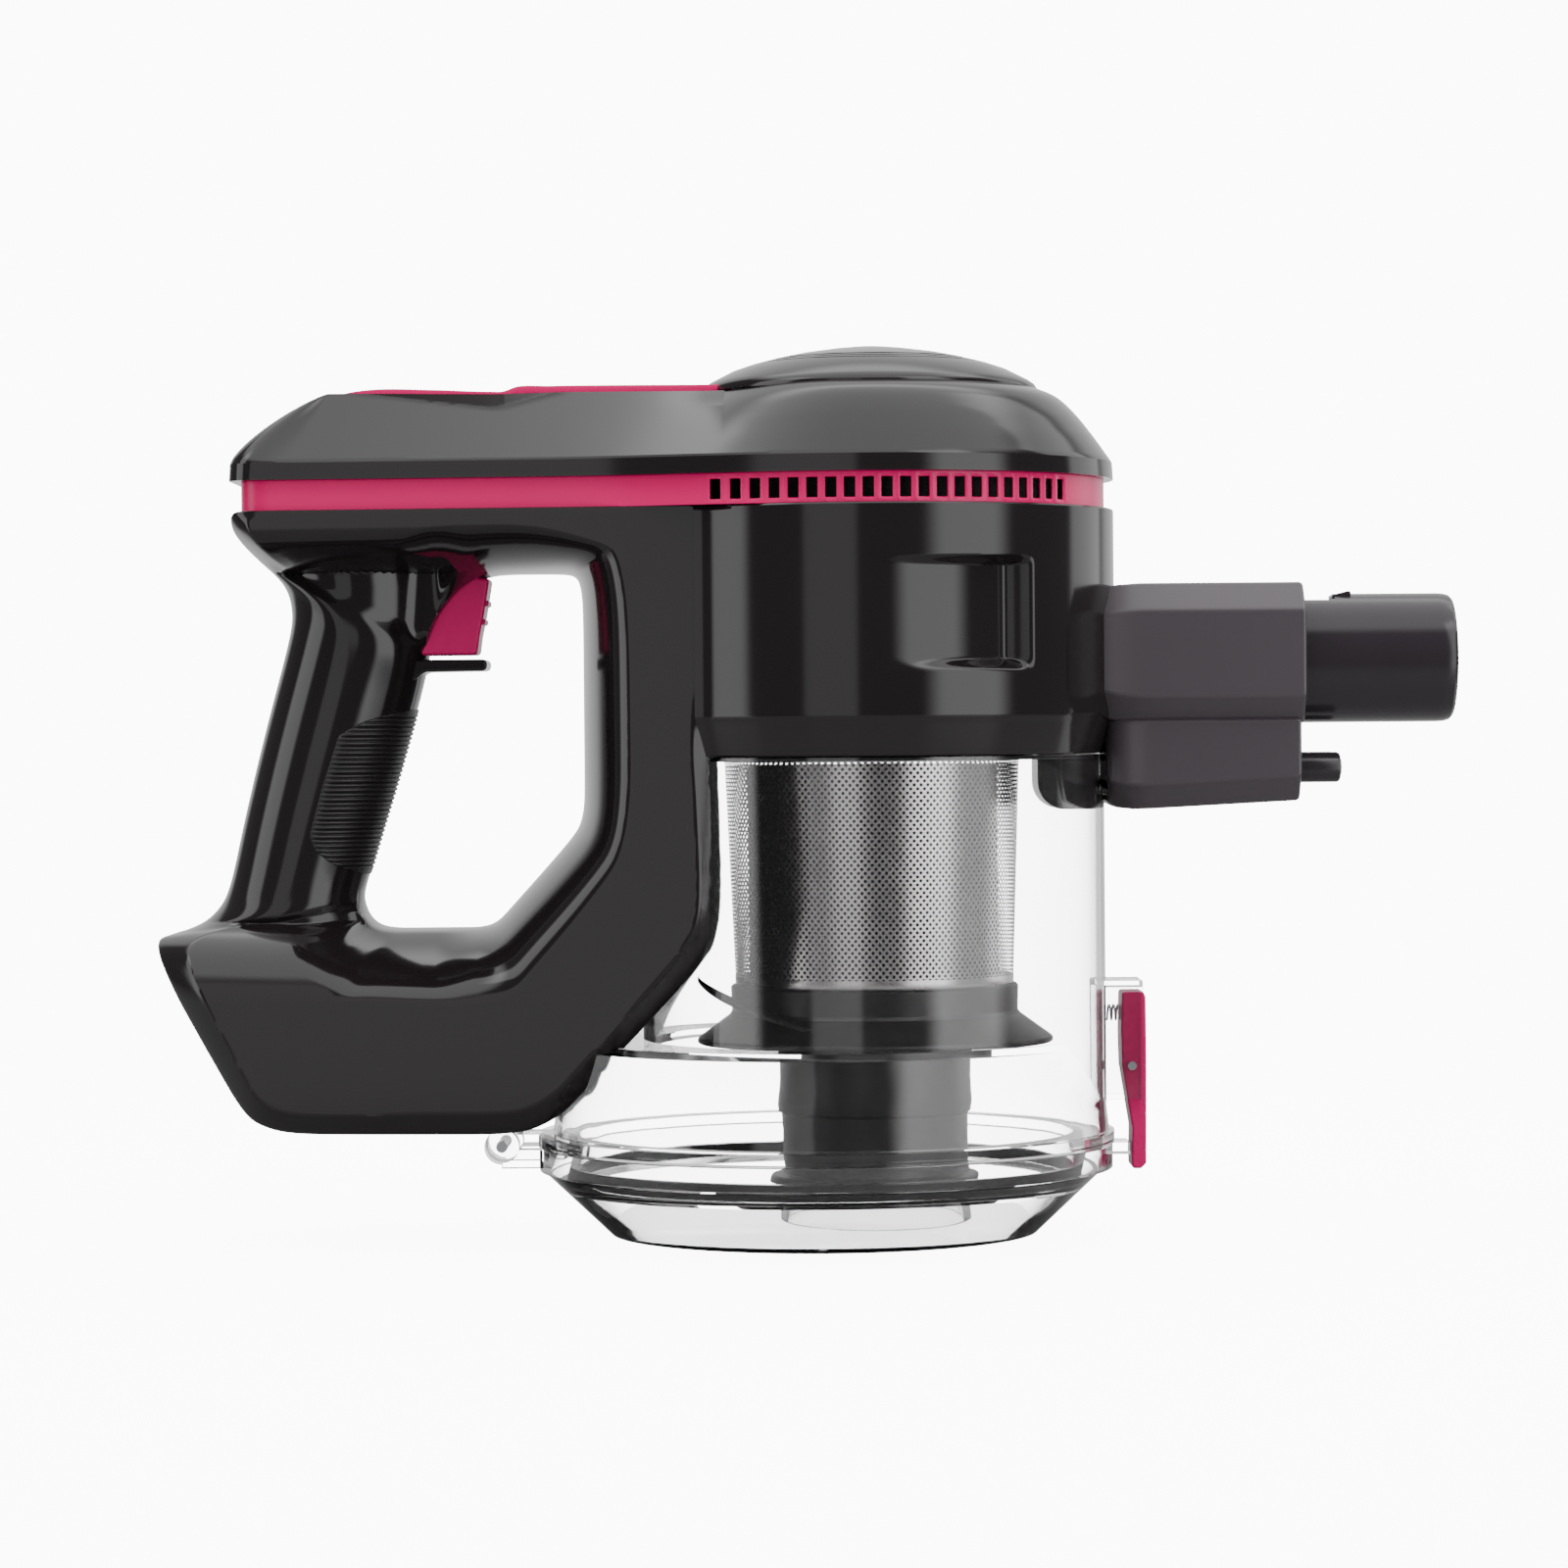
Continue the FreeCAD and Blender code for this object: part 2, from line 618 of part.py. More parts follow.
# ---- dust cup, filter and door ------------------------------------------------------------------
def dust_cup():
    """Clear cup with rim, hinge knuckle, latch ears and a notch for the inlet."""
    shell = cup_volume(0.0, rim_z, cup_top_z).cut(cup_volume(cup_wall, rim_z - 1, cup_top_z + 1))
    rim = ring(seal_r[0], rim_r, rim_z, rim_top_z, door_x)
    skirt = ring(seal_r[0], seal_r[1], 19.2, rim_z, door_x)
    arm = block(hinge_x, door_x - 77.0, -knuckle_y[0], knuckle_y[0], rim_z, rim_top_z)
    knuckle = rod_y(knuckle_r, -knuckle_y[0], knuckle_y[0], hinge_x, hinge_z)
    ears = both_sides(block(78.0, 90.5, ear_y[0], ear_y[1], 36.0, 68.0))
    hood = block(79.5, 90.5, -ear_y[1], ear_y[1], 66.2, 68.0)
    keep_out = cup_volume(cup_wall, rim_z - 1, cup_top_z + 1)
    body = shell.fuse(rim).fuse(skirt).fuse(arm).fuse(ears.cut(keep_out)).fuse(hood.cut(keep_out))
    notch = prism_x([(-13.6, 140), (-13.6, 123.7), (-8.3, 118.0),
                     (8.3, 118.0), (13.6, 123.7), (13.6, 140)], 60, 90)
    body = body.fuse(knuckle).cut(notch)
    body = body.cut(rod_y(pin_r, -40, 40, hinge_x, hinge_z))
    return body.cut(rod_y(latch_pin_r, -40, 40, latch_x, latch_z)).removeSplitter()


def bin_door():
    """Clear dish that closes the cup, with seat ring, hinge knuckles and latch tongue."""
    outer = turned([(0, 0), (door_bottom_r, 0), (door_r - 1.5, door_flange_z),
                    (0, door_flange_z)], door_bottom_x)
    flange = post(door_r, door_flange_z, rim_z - gap, door_x)
    inner = turned([(0, cup_wall), (door_bottom_r - 1.6, cup_wall), (door_r - 4.4, door_flange_z),
                    (0, door_flange_z)], door_bottom_x)
    dish = outer.fuse(flange).cut(inner).cut(post(door_r - 3.4, door_flange_z - 0.1, 40, door_x))
    ledge = ring(66.0, 74.0, 13.4, 15.4, door_x).common(outer)
    seat = ring(24.0, 26.0, 2.0, 13.2)
    tongue = block(78.0, 87.0, -7.0, 7.0, 20.8, rim_z - gap)
    arms = both_sides(block(hinge_x, door_x - 76.0, knuckle_y[1], knuckle_y[2], 19.0, rim_z - gap))
    knuckles = both_sides(rod_y(knuckle_r, knuckle_y[1], knuckle_y[2], hinge_x, hinge_z))
    tabs = tongue.fuse(arms).cut(post(door_r - 2.0, 0, 60, door_x))
    body = dish.fuse(ledge).fuse(seat).fuse(tabs).fuse(knuckles)
    return body.cut(rod_y(pin_r + pin_clear, -40, 40, hinge_x, hinge_z)).removeSplitter()


def door_seal():
    return ring(seal_r[0], seal_r[1], 15.4, 18.9, door_x)


def door_pin():
    return rod_y(pin_r, -knuckle_y[2], knuckle_y[2], hinge_x, hinge_z)


def latch():
    """Press lever: its top is pushed in and the hook at its foot lets the door go."""
    side = prism_y([(86.2, 64.8), (91.0, 64.8), (91.5, 63.5), (91.5, 18.5), (90.0, 16.8), (87.4, 16.8),
                    (87.4, 20.3), (88.6, 26.0), (86.0, 40.0), (84.6, 45.0), (85.2, 50.0)],
                   -latch_w, latch_w)
    side = side.fuse(rod_y(2.6, -latch_w, latch_w, latch_x, latch_z))
    return side.cut(rod_y(latch_pin_r + pin_clear, -20, 20, latch_x, latch_z))


def latch_pin():
    return rod_y(latch_pin_r, -ear_y[1], ear_y[1], latch_x, latch_z)


def latch_spring():
    return coil_spring((81.4, 0, 59.0), (1, 0, 0), 3.6, 2.0, 0.3, 3)


def mesh_filter():
    """Drawn steel cone around the pleated filter."""
    return turned([(mesh_top_r - mesh_wall, 127.2), (mesh_top_r, 127.2), (mesh_low_r, mesh_low_z),
                   (mesh_low_r - mesh_wall, mesh_low_z)])


def filter_frame():
    """Top plate that closes the cup round the filter, cut away for the inlet."""
    plate = ring(36.0, 60.2, 127.2, 129.2)
    plate = plate.cut(block(58.0, 90.0, -15.0, 15.0, 120, 140))
    return plate.fuse(ring(36.0, 41.4, 129.2, 133.0))


def filter_seal():
    return ring(36.6, 41.0, 133.0, 134.0)


def pleated_filter():
    """Folded paper ring, a zigzag in plan."""
    folds = 40
    outside, inside = [], []
    for index in range(2 * folds):
        angle = math.pi * index / folds
        r = 34.0 if index % 2 else 29.0
        outside.append((motor_x + r * math.cos(angle), r * math.sin(angle)))
        inside.append((motor_x + (r - 1.2) * math.cos(angle), (r - 1.2) * math.sin(angle)))
    return prism_z(outside, 67.5, 127.0).cut(prism_z(inside, 66.0, 128.0))


def filter_skirt():
    """Ring under the mesh that flares into the baffle."""
    return turned([(26.5, 67.5), (39.0, 67.5), (39.0, 60.0), (48.5, 53.0), (48.5, 51.6), (46.0, 51.6),
                   (36.5, 58.6), (26.5, 58.6)])


def dust_tube():
    return turned([(24.4, 67.3), (26.4, 67.3), (26.4, 50.0), (26.0, 33.0), (25.2, 33.0), (25.0, 16.0),
                   (28.6, 15.6), (28.6, 13.8), (23.4, 13.8), (23.4, 33.0), (24.4, 50.0)])


# ---- fasteners ----------------------------------------------------------------------------------
def housing_screws():
    screws = []
    for x, z in screw_places():
        shank = rod_y(screw_shank_r, -12.0, 11.0, x, z)
        head = rod_y(screw_head_r, 11.0, 13.2, x, z)
        screws.append(shank.fuse(head))
    return Part.makeCompound(screws)


makers = [
    top_cover, top_inlay, dome_cap, vent_band, exhaust_filter, grip_pad, motor_seat, motor_gasket,
    fan_shroud, diffuser, impeller, motor_can, motor_bearings, motor_stator, motor_rotor, motor_shaft,
    motor_mount, motor_frame, battery_cells, battery_holder, bus_bars, battery_board, control_board,
    tact_switch, indicator_lights, mode_button, trigger, trigger_pin, trigger_switch, trigger_spring,
    charge_socket, charge_contact, inlet_block, nozzle_tube, plug_posts, plug_contacts, dust_cup,
    bin_door, door_seal, door_pin, latch, latch_pin, latch_spring, mesh_filter, filter_frame,
    filter_seal, pleated_filter, filter_skirt, dust_tube, housing_screws,
]


def save(name, shape):
    """Write one node's solid and print whether it is sound."""
    print(name, shape.isValid(), len(shape.Solids), round(shape.Volume))
    shape.exportStep("parts/" + name + ".step")


os.makedirs("parts", exist_ok=True)
housing = housing_shell()
save("housing_right", housing_half(housing, -1))
save("housing_left", housing_half(housing, 1))
for maker in makers:
    save(maker.__name__, maker())
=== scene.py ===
# %% [markdown]
# # A cordless hand vacuum
# The machine is glossy black plastic round a clear dust cup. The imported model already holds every
# piece at its real size, so this script only gives the pieces their moulded shapes and finishes.
# Distances are in metres, +X runs towards the nozzle and +Z is up.

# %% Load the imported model
import json
import math
import bpy
import bmesh
import numpy as np
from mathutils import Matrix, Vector


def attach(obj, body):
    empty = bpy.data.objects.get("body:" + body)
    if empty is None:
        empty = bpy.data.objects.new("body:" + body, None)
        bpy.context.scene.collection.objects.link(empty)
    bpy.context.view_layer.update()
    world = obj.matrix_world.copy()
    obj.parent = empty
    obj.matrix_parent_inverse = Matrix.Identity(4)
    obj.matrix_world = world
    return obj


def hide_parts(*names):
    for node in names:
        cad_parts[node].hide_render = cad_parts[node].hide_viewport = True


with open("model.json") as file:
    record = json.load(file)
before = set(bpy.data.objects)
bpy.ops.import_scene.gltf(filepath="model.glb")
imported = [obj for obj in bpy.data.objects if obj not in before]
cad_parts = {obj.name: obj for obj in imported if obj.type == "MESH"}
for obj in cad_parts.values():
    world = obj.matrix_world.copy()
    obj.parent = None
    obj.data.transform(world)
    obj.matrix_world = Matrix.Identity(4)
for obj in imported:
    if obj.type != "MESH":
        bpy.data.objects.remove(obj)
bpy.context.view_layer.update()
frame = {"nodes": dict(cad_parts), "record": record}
nodes = frame["nodes"]
mm = 0.001

# %% [markdown]
# ## The camera
# The machine is seen square from its right side, from a little over a metre away, so the near parts
# stay almost the size of the far ones. The long lens keeps it in the middle of the view.

# %% Camera
camera_data = bpy.data.cameras.new("camera")
camera_data.lens = 109.5
camera_data.sensor_width = 36.0
camera_data.clip_end = 20.0
camera = bpy.data.objects.new("camera", camera_data)
bpy.context.scene.collection.objects.link(camera)
camera_tilt = math.radians(-0.71)
camera_roll = math.radians(0.46)
camera.location = (-0.006, -1.3, 0.138)
camera.rotation_mode = "ZXY"
camera.rotation_euler = (math.pi / 2 + camera_tilt, camera_roll, 0.0)
bpy.context.scene.camera = camera
print("camera at", tuple(camera.location))

# %% [markdown]
# ## Studio light
# Glossy black plastic is only seen by what it reflects, so the light is drawn as a few tall soft panels
# round the machine and one overhead. They are bands in the world, by compass direction and height,
# so every side of the machine has a panel to reflect. Straight looks and looks through clear plastic
# meet the plain white wall instead.

# %% World panels
world = bpy.data.worlds.new("studio")
bpy.context.scene.world = world


def open_tree(owner):
    """Turn on the nodes of a world or material; the helpers below then work on its tree."""
    global tree
    owner.use_nodes = True
    tree = owner.node_tree


def link(out, into):
    """Join an output socket to an input socket."""
    tree.links.new(out, into)


def put(node, **values):
    """Set inputs of a node by name, an underscore standing for a space; returns the node."""
    for name, value in values.items():
        node.inputs[name.replace("_", " ")].default_value = value
    return node


def add(kind, **values):
    """New shader node of a kind with inputs set by name; returns the node."""
    return put(tree.nodes.new("ShaderNode" + kind), **values)


def ramp(value, start, end, first, last):
    """From first to last, smoothly, while the value goes from start to end."""
    node = add("MapRange")
    node.interpolation_type = "SMOOTHSTEP"
    link(value, node.inputs["Value"])
    return put(node, From_Min=start, From_Max=end, To_Min=first, To_Max=last).outputs["Result"]


def calc(operation, *inputs):
    """Math node on numbers or sockets; returns its output."""
    node = add("Math")
    node.operation = operation
    for k, value in enumerate(inputs):
        if isinstance(value, (int, float)):
            node.inputs[k].default_value = value
        else:
            link(value, node.inputs[k])
    return node.outputs[0]


def band(value, centre, half, soft, around=False):
    """1 within half of the centre, fading smoothly to 0 over the soft width; may wrap at 360."""
    gap = calc("SUBTRACT", value, centre)
    if around:
        gap = calc("WRAP", gap, 180.0, -180.0)
    return ramp(calc("ABSOLUTE", gap), half, half + soft, 1.0, 0.0)


def straight_look():
    """1 for looks from the camera, straight or through clear plastic; 0 for light and reflections."""
    path = add("LightPath")
    bounces = calc("ADD", path.outputs["Diffuse Depth"], path.outputs["Glossy Depth"])
    through = calc("MULTIPLY", path.outputs["Is Transmission Ray"], calc("LESS_THAN", bounces, 0.5))
    return calc("MAXIMUM", path.outputs["Is Camera Ray"], through)


open_tree(world)
tree.nodes.clear()
direction = add("TexCoord").outputs["Generated"]
split = add("SeparateXYZ")
link(direction, split.inputs[0])
x_out, y_out, z_out = split.outputs
compass = calc("DEGREES", calc("ARCTAN2", x_out, calc("MULTIPLY", y_out, -1.0)))
height = calc("DEGREES", calc("ARCSINE", z_out))

# compass, half width, softness, height, half height, softness, strength
panels = [(-20, 11, 3, 0, 38, 12, 0.95), (46, 12, 12, 5, 48, 12, 3.3), (122, 12, 5, 5, 50, 15, 2.0),
          (-76, 12, 6, 8, 46, 15, 2.8), (180, 32, 16, 0, 50, 15, 1.2)]
overhead = 2.5
fill = 0.2
light = calc("ADD", calc("MULTIPLY", band(height, 90, 34, 14), overhead), fill)
for at, half, soft, level, tall, fade, strength in panels:
    patch = calc("MULTIPLY", band(compass, at, half, soft, True), band(height, level, tall, fade))
    light = calc("ADD", light, calc("MULTIPLY", patch, strength))
wall_white = 14.0
seen = straight_look()
unseen = calc("SUBTRACT", 1.0, seen)
light = calc("ADD", calc("MULTIPLY", light, unseen), calc("MULTIPLY", seen, wall_white))
sky = add("Background")
link(light, sky.inputs["Strength"])
link(sky.outputs[0], add("OutputWorld").inputs["Surface"])
print("panels:", len(panels))

# %% [markdown]
# ## The floor
# The machine stands on a plain pale floor. It fades out a little way from the machine, so it has no
# horizon and only its soft shadow shows. A straight look meets it as white as the wall, while the
# black plastic is lit by a dimmer floor, or its lower half would turn grey.

# %% Floor
floor_mesh = bpy.data.meshes.new("floor")
floor_half = 3.0
corners = [(-floor_half, -floor_half, 0), (floor_half, -floor_half, 0)]
corners += [(floor_half, floor_half, 0), (-floor_half, floor_half, 0)]
floor_mesh.from_pydata(corners, [], [(0, 1, 2, 3)])
floor = bpy.data.objects.new("floor", floor_mesh)
floor.location = (0, 0, -0.001)
bpy.context.scene.collection.objects.link(floor)
pale = bpy.data.materials.new("pale_floor")
open_tree(pale)
shader = tree.nodes["Principled BSDF"]
put(shader, Roughness=0.7, Emission_Color=(1, 1, 1, 1))
floor_glow = 10.0
floor_pale, floor_dim = 0.93, 0.3
seen = straight_look()
link(calc("MULTIPLY", seen, floor_glow), shader.inputs["Emission Strength"])
shade = calc("ADD", calc("MULTIPLY", seen, floor_pale - floor_dim), floor_dim)
link(shade, shader.inputs["Base Color"])
spot = add("TexCoord")
reach = add("VectorMath")
reach.operation = "LENGTH"
link(spot.outputs["Object"], reach.inputs[0])
fade_start, fade_end = 0.22, 0.75
mix = add("MixShader")
link(ramp(reach.outputs["Value"], fade_start, fade_end, 0.0, 1.0), mix.inputs[0])
link(shader.outputs[0], mix.inputs[1])
link(add("BsdfTransparent").outputs[0], mix.inputs[2])
link(mix.outputs[0], tree.nodes["Material Output"].inputs["Surface"])
floor_mesh.materials.append(pale)
print("floor", 2 * floor_half, "m wide, fading from", fade_start, "m")

# %% [markdown]
# ## Helpers for surfaces
# Every new piece is a grid of points worked out as one array: a profile carried along a path. One
# helper turns such grids into a closed mesh, merges the seams and poles, and points the faces out.

# %% Mesh from grids
def quads(rows, cols, start, wrap_rows=False, wrap_cols=False):
    """Corner numbers of the squares of a rows x cols grid, with wrapped edges where asked."""
    r = np.arange(rows if wrap_rows else rows - 1)
    c = np.arange(cols if wrap_cols else cols - 1)
    r, c = np.meshgrid(r, c, indexing="ij")
    r1, c1 = (r + 1) % rows, (c + 1) % cols
    corners = np.stack([r * cols + c, r1 * cols + c, r1 * cols + c1, r * cols + c1], -1)
    return corners.reshape(-1, 4) + start


def sideways(side, clear):
    """Outward way for a shell of one side: along y, for faces further than clear from the middle."""
    def way(p):
        return Vector((0.0, side if abs(p.y) > clear else 0.0, 0.0))
    return way


def upwards(level):
    """Outward way for a lid: up, for faces above the level."""
    def way(p):
        return Vector((0.0, 0.0, 1.0 if p.z > level else 0.0))
    return way


def make_piece(name, grids, body, slot, replaces=(), **finishing):
    """Join grids, given as (points, wrap_rows, wrap_cols), into one smooth piece on a body.

    A fourth value in a grid closes its first and last row with flat faces. The finishing settings go
    to finish_mesh as they are.
    """
    verts, faces, start = [], [], 0
    for points, wrap_rows, wrap_cols, *capped in grids:
        points = np.asarray(points, float)
        rows, cols = points.shape[:2]
        verts.append(points.reshape(-1, 3))
        faces += quads(rows, cols, start, wrap_rows, wrap_cols).tolist()
        if capped:
            last = start + (rows - 1) * cols
            faces += [list(range(start, start + cols)), list(range(last, last + cols))]
        start += rows * cols
    mesh = bpy.data.meshes.new(name)
    mesh.from_pydata(np.concatenate(verts).tolist(), [], faces)
    finish_mesh(name, mesh, body, slot, replaces, **finishing)


def finish_mesh(name, mesh, body, slot, replaces=(), outward=None, angle=35.0, flat_faces=False):
    """Merge seams, turn the faces outwards, shade smooth between sharp edges and place on a body."""
    work = bmesh.new()
    work.from_mesh(mesh)
    bmesh.ops.remove_doubles(work, verts=work.verts, dist=2e-6)
    bmesh.ops.dissolve_degenerate(work, edges=work.edges, dist=1e-6)
    bmesh.ops.recalc_face_normals(work, faces=work.faces)
    if outward is not None:
        work.faces.ensure_lookup_table()
        total = sum(outward(f.calc_center_median()).dot(f.normal) * f.calc_area() for f in work.faces)
        if total < 0:
            bmesh.ops.reverse_faces(work, faces=work.faces)
    limit = math.radians(angle)
    for edge in work.edges:
        if len(edge.link_faces) == 2 and edge.calc_face_angle(0.0) > limit:
            edge.smooth = False
    for face in work.faces:
        face.smooth = True
    work.to_mesh(mesh)
    work.free()
    piece = bpy.data.objects.new(name, mesh)
    bpy.context.scene.collection.objects.link(piece)
    if flat_faces:
        piece.modifiers.new("normals", "WEIGHTED_NORMAL").keep_sharp = True
    piece.data.materials.append(materials[slot])
    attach(piece, body)
    if replaces:
        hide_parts(*replaces)
    print(name, len(mesh.polygons), "faces")
    return piece


# %% [markdown]
# ## Outlines with rounded corners
# A moulding has no sharp corners, because a tool can't cut them and a mould can't fill them. Bevel
# modifiers could round them afterwards. Rounding the outline first is exact and costs fewer faces:
# the outline is then carried straight, as a plate, or turned round an axis.

# %% Outlines
def rounded(corners, radii, steps=6):
    """Closed outline with each corner cut off by an arc that is tangent to both of its sides."""
    corners = np.asarray(corners, float)
    radii = np.broadcast_to(radii, len(corners))
    points = []
    for k, corner in enumerate(corners):
        back = corners[k - 1] - corner
        ahead = corners[(k + 1) % len(corners)] - corner
        back_l, ahead_l = np.linalg.norm(back), np.linalg.norm(ahead)
        half = 0.5 * math.acos(np.clip(np.dot(back, ahead) / back_l / ahead_l, -1, 1))
        reach = min(radii[k] / math.tan(half), 0.49 * back_l, 0.49 * ahead_l)
        first, last = corner + back / back_l * reach, corner + ahead / ahead_l * reach
        t = np.linspace(0, 1, steps)[:, None]
        weight = math.sin(half)
        top = (1 - t) ** 2 * first + 2 * weight * t * (1 - t) * corner + t ** 2 * last
        points.append(top / ((1 - t) ** 2 + 2 * weight * t * (1 - t) + t ** 2))
    return np.concatenate(points)


def inward_normals(outline):
    """Unit normals of a closed outline, pointing to its inside."""
    ahead = np.roll(outline, -1, 0) - outline
    ahead /= np.maximum(np.linalg.norm(ahead, axis=1), 1e-9)[:, None]
    tangent = ahead + np.roll(ahead, 1, 0)
    tangent /= np.maximum(np.linalg.norm(tangent, axis=1), 1e-9)[:, None]
    normal = np.stack([-tangent[:, 1], tangent[:, 0]], 1)
    area = np.sum(outline[:, 0] * np.roll(outline[:, 1], -1) - np.roll(outline[:, 0], -1) * outline[:, 1])
    return normal * np.sign(area)


def slab(outline, low, high, edge):
    """Plate with this side outline between two values of y, its edges rolled over by a quarter circle.

    Each ring is the outline moved inwards by edge x (1 - sin a) at the level low + edge x (1 - cos a),
    a going from 0 to 90 degrees, and the other face mirrors it. Flat faces close the two ends.
    """
    outline = np.asarray(outline, float)
    normal = inward_normals(outline)
    angles = np.linspace(0, math.pi / 2, 4)
    inset, rise = edge * (1 - np.sin(angles)), edge * (1 - np.cos(angles))
    insets = np.concatenate([inset, inset[::-1]])
    levels = np.concatenate([low + rise, high - rise[::-1]])
    rings = outline[None] + insets[:, None, None] * normal[None]
    level = np.broadcast_to(levels[:, None], rings.shape[:2])
    return np.stack([rings[..., 0], level, rings[..., 1]], -1) * mm, False, True, True


motor_x = 18.0


def lathe(profile, x=motor_x, y=0.0, sides=128, closed=True, steps=5, radii=0.6, axis="z"):
    """Profile of (radius, height) points, its corners rounded if closed, turned round an axis.

    The axis is upright through (x, y), or runs along x through y = x and z = y of the arguments.
    """
    outline = rounded(profile, radii, steps) if closed else np.asarray(profile, float)
    angle = np.linspace(0.0, 2 * math.pi, sides, endpoint=False)
    r, h = outline[:, 0][None], outline[:, 1][None]
    c, s = np.cos(angle)[:, None], np.sin(angle)[:, None]
    if axis == "z":
        points = np.stack([x + r * c, y + r * s, h + 0 * c], -1)
    else:
        points = np.stack([h + 0 * c, x + r * c, y + r * s], -1)
    return points * mm, True, closed


def clamp(t):
    """t held between 0 and 1."""
    return np.minimum(np.maximum(t, 0), 1)


def smooth(t):
    """3 t squared less 2 t cubed: 0 to 1 with level ends."""
    t = clamp(t)
    return t * t * (3 - 2 * t)


def glide(t, keys, values):
    """Smooth curve through values at keys: cubic pieces that share the mean slope at each key."""
    keys, values = np.asarray(keys, float), np.asarray(values, float)
    slope = np.gradient(values, keys, axis=0)
    k = np.clip(np.searchsorted(keys, t, side="right") - 1, 0, len(keys) - 2)
    step = keys[k + 1] - keys[k]
    s = (t - keys[k]) / step
    h0, h1 = (1 + 2 * s) * (1 - s) ** 2, s ** 2 * (3 - 2 * s)
    d0, d1 = s * (1 - s) ** 2 * step, s ** 2 * (s - 1) * step
    return h0 * values[k] + h1 * values[k + 1] + d0 * slope[k] + d1 * slope[k + 1]


# %% [markdown]
# ## Finishes
# Moulded plastic is never one flat value: its gloss changes a little from wipe marks and its surface
# has a faint waviness. Each finish below is a Principled shader whose roughness and bump come from
# noise on Object coordinates, at the scale the real surface shows.

# %% Material helpers
materials = {}


def new_finish(slot, colour, roughness, spread, scale, bump, grain, tint=0.1, **sockets):
    """Principled shader with clouds in its colour and roughness, and a fine grain in its bump.

    Scale and grain are the noises' counts per metre; other sockets are set directly by name.
    """
    material = bpy.data.materials.new(slot)
    open_tree(material)
    shader = tree.nodes["Principled BSDF"]
    place = add("TexCoord")
    cloud = add("TexNoise", Scale=scale, Detail=4.0)
    link(place.outputs["Object"], cloud.inputs["Vector"])
    gloss = add("MapRange")
    put(gloss, To_Min=max(roughness - spread, 0.0), To_Max=roughness + spread)
    link(cloud.outputs["Fac"], gloss.inputs["Value"])
    link(gloss.outputs["Result"], shader.inputs["Roughness"])
    shade = add("Mix")
    shade.data_type = "RGBA"
    shade.inputs[6].default_value = (*[c * (1 - tint) for c in colour], 1)
    shade.inputs[7].default_value = (*[min(c * (1 + tint), 1) for c in colour], 1)
    link(cloud.outputs["Fac"], shade.inputs[0])
    link(shade.outputs[2], shader.inputs["Base Color"])
    fine = add("TexNoise", Scale=grain, Detail=2.0)
    link(place.outputs["Object"], fine.inputs["Vector"])
    relief = add("Bump", Strength=bump, Distance=0.0004)
    link(fine.outputs["Fac"], relief.inputs["Height"])
    link(relief.outputs["Normal"], shader.inputs["Normal"])
    put(shader, **sockets)
    materials[slot] = material


# %% [markdown]
# ## Every finish of the machine
# The shells are polished black, the band and levers bright, the pad matt rubber. The inlet is a
# lighter, satin plastic. Metal, cells and boards inside show when the cup is off or a shell is cut
# away. Each line gives slot, colour, roughness and its spread, cloud scale, bump, grain and tint.

# %% All finishes
new_finish("black_gloss", (0.0130, 0.0101, 0.0110), 0.10, 0.03, 25.0, 0.006, 300.0, IOR=1.5)
new_finish("pink_gloss", (0.90, 0.003, 0.165), 0.26, 0.04, 30.0, 0.01, 400.0, 0.03, IOR=1.36)
new_finish("pink_lever", (0.80, 0.005, 0.17), 0.28, 0.05, 40.0, 0.02, 900.0, 0.05, IOR=1.4)
new_finish("grip_rubber", (0.016, 0.014, 0.015), 0.38, 0.06, 80.0, 0.05, 1500.0)
new_finish("inlet_plastic", (0.078, 0.066, 0.077), 0.30, 0.03, 25.0, 0.004, 300.0, 0.02)
new_finish("tube_black", (0.031, 0.025, 0.031), 0.15, 0.03, 40.0, 0.006, 500.0, IOR=1.45)
new_finish("dark_plastic", (0.017, 0.0145, 0.0155), 0.35, 0.06, 50.0, 0.03, 1200.0)
new_finish("filter_steel", (0.62, 0.60, 0.59), 0.26, 0.06, 120.0, 0.03, 900.0, 0.04, Metallic=1.0)
new_finish("filter_paper", (0.05, 0.05, 0.052), 0.9, 0.05, 90.0, 0.2, 1500.0, 0.05)
new_finish("filter_foam", (0.012, 0.012, 0.013), 0.95, 0.04, 200.0, 0.8, 1100.0, 0.3)
new_finish("seal_rubber", (0.018, 0.018, 0.019), 0.55, 0.08, 80.0, 0.05, 900.0)
new_finish("fan_aluminium", (0.70, 0.71, 0.72), 0.30, 0.08, 150.0, 0.03, 1500.0, 0.05, Metallic=1.0)
new_finish("motor_steel", (0.50, 0.50, 0.52), 0.33, 0.08, 100.0, 0.04, 1200.0, 0.06, Metallic=1.0)
new_finish("cell_wrap", (0.06, 0.22, 0.45), 0.35, 0.05, 60.0, 0.02, 500.0, 0.05)
new_finish("contact_brass", (0.75, 0.60, 0.32), 0.25, 0.06, 120.0, 0.02, 900.0, 0.05, Metallic=1.0)
new_finish("circuit_board", (0.015, 0.13, 0.06), 0.30, 0.06, 300.0, 0.05, 700.0, 0.25)
new_finish("light_lens", (0.75, 0.85, 0.95), 0.25, 0.04, 90.0, 0.01, 500.0, 0.03)
new_finish("pin_steel", (0.66, 0.66, 0.68), 0.20, 0.06, 200.0, 0.02, 1500.0, 0.04, Metallic=1.0)
new_finish("clear_plastic", (0.955, 0.955, 0.96), 0.02, 0.015, 20.0, 0.003, 60.0, 0.004,
           Transmission_Weight=1.0, IOR=1.49)
print("finishes:", len(materials))

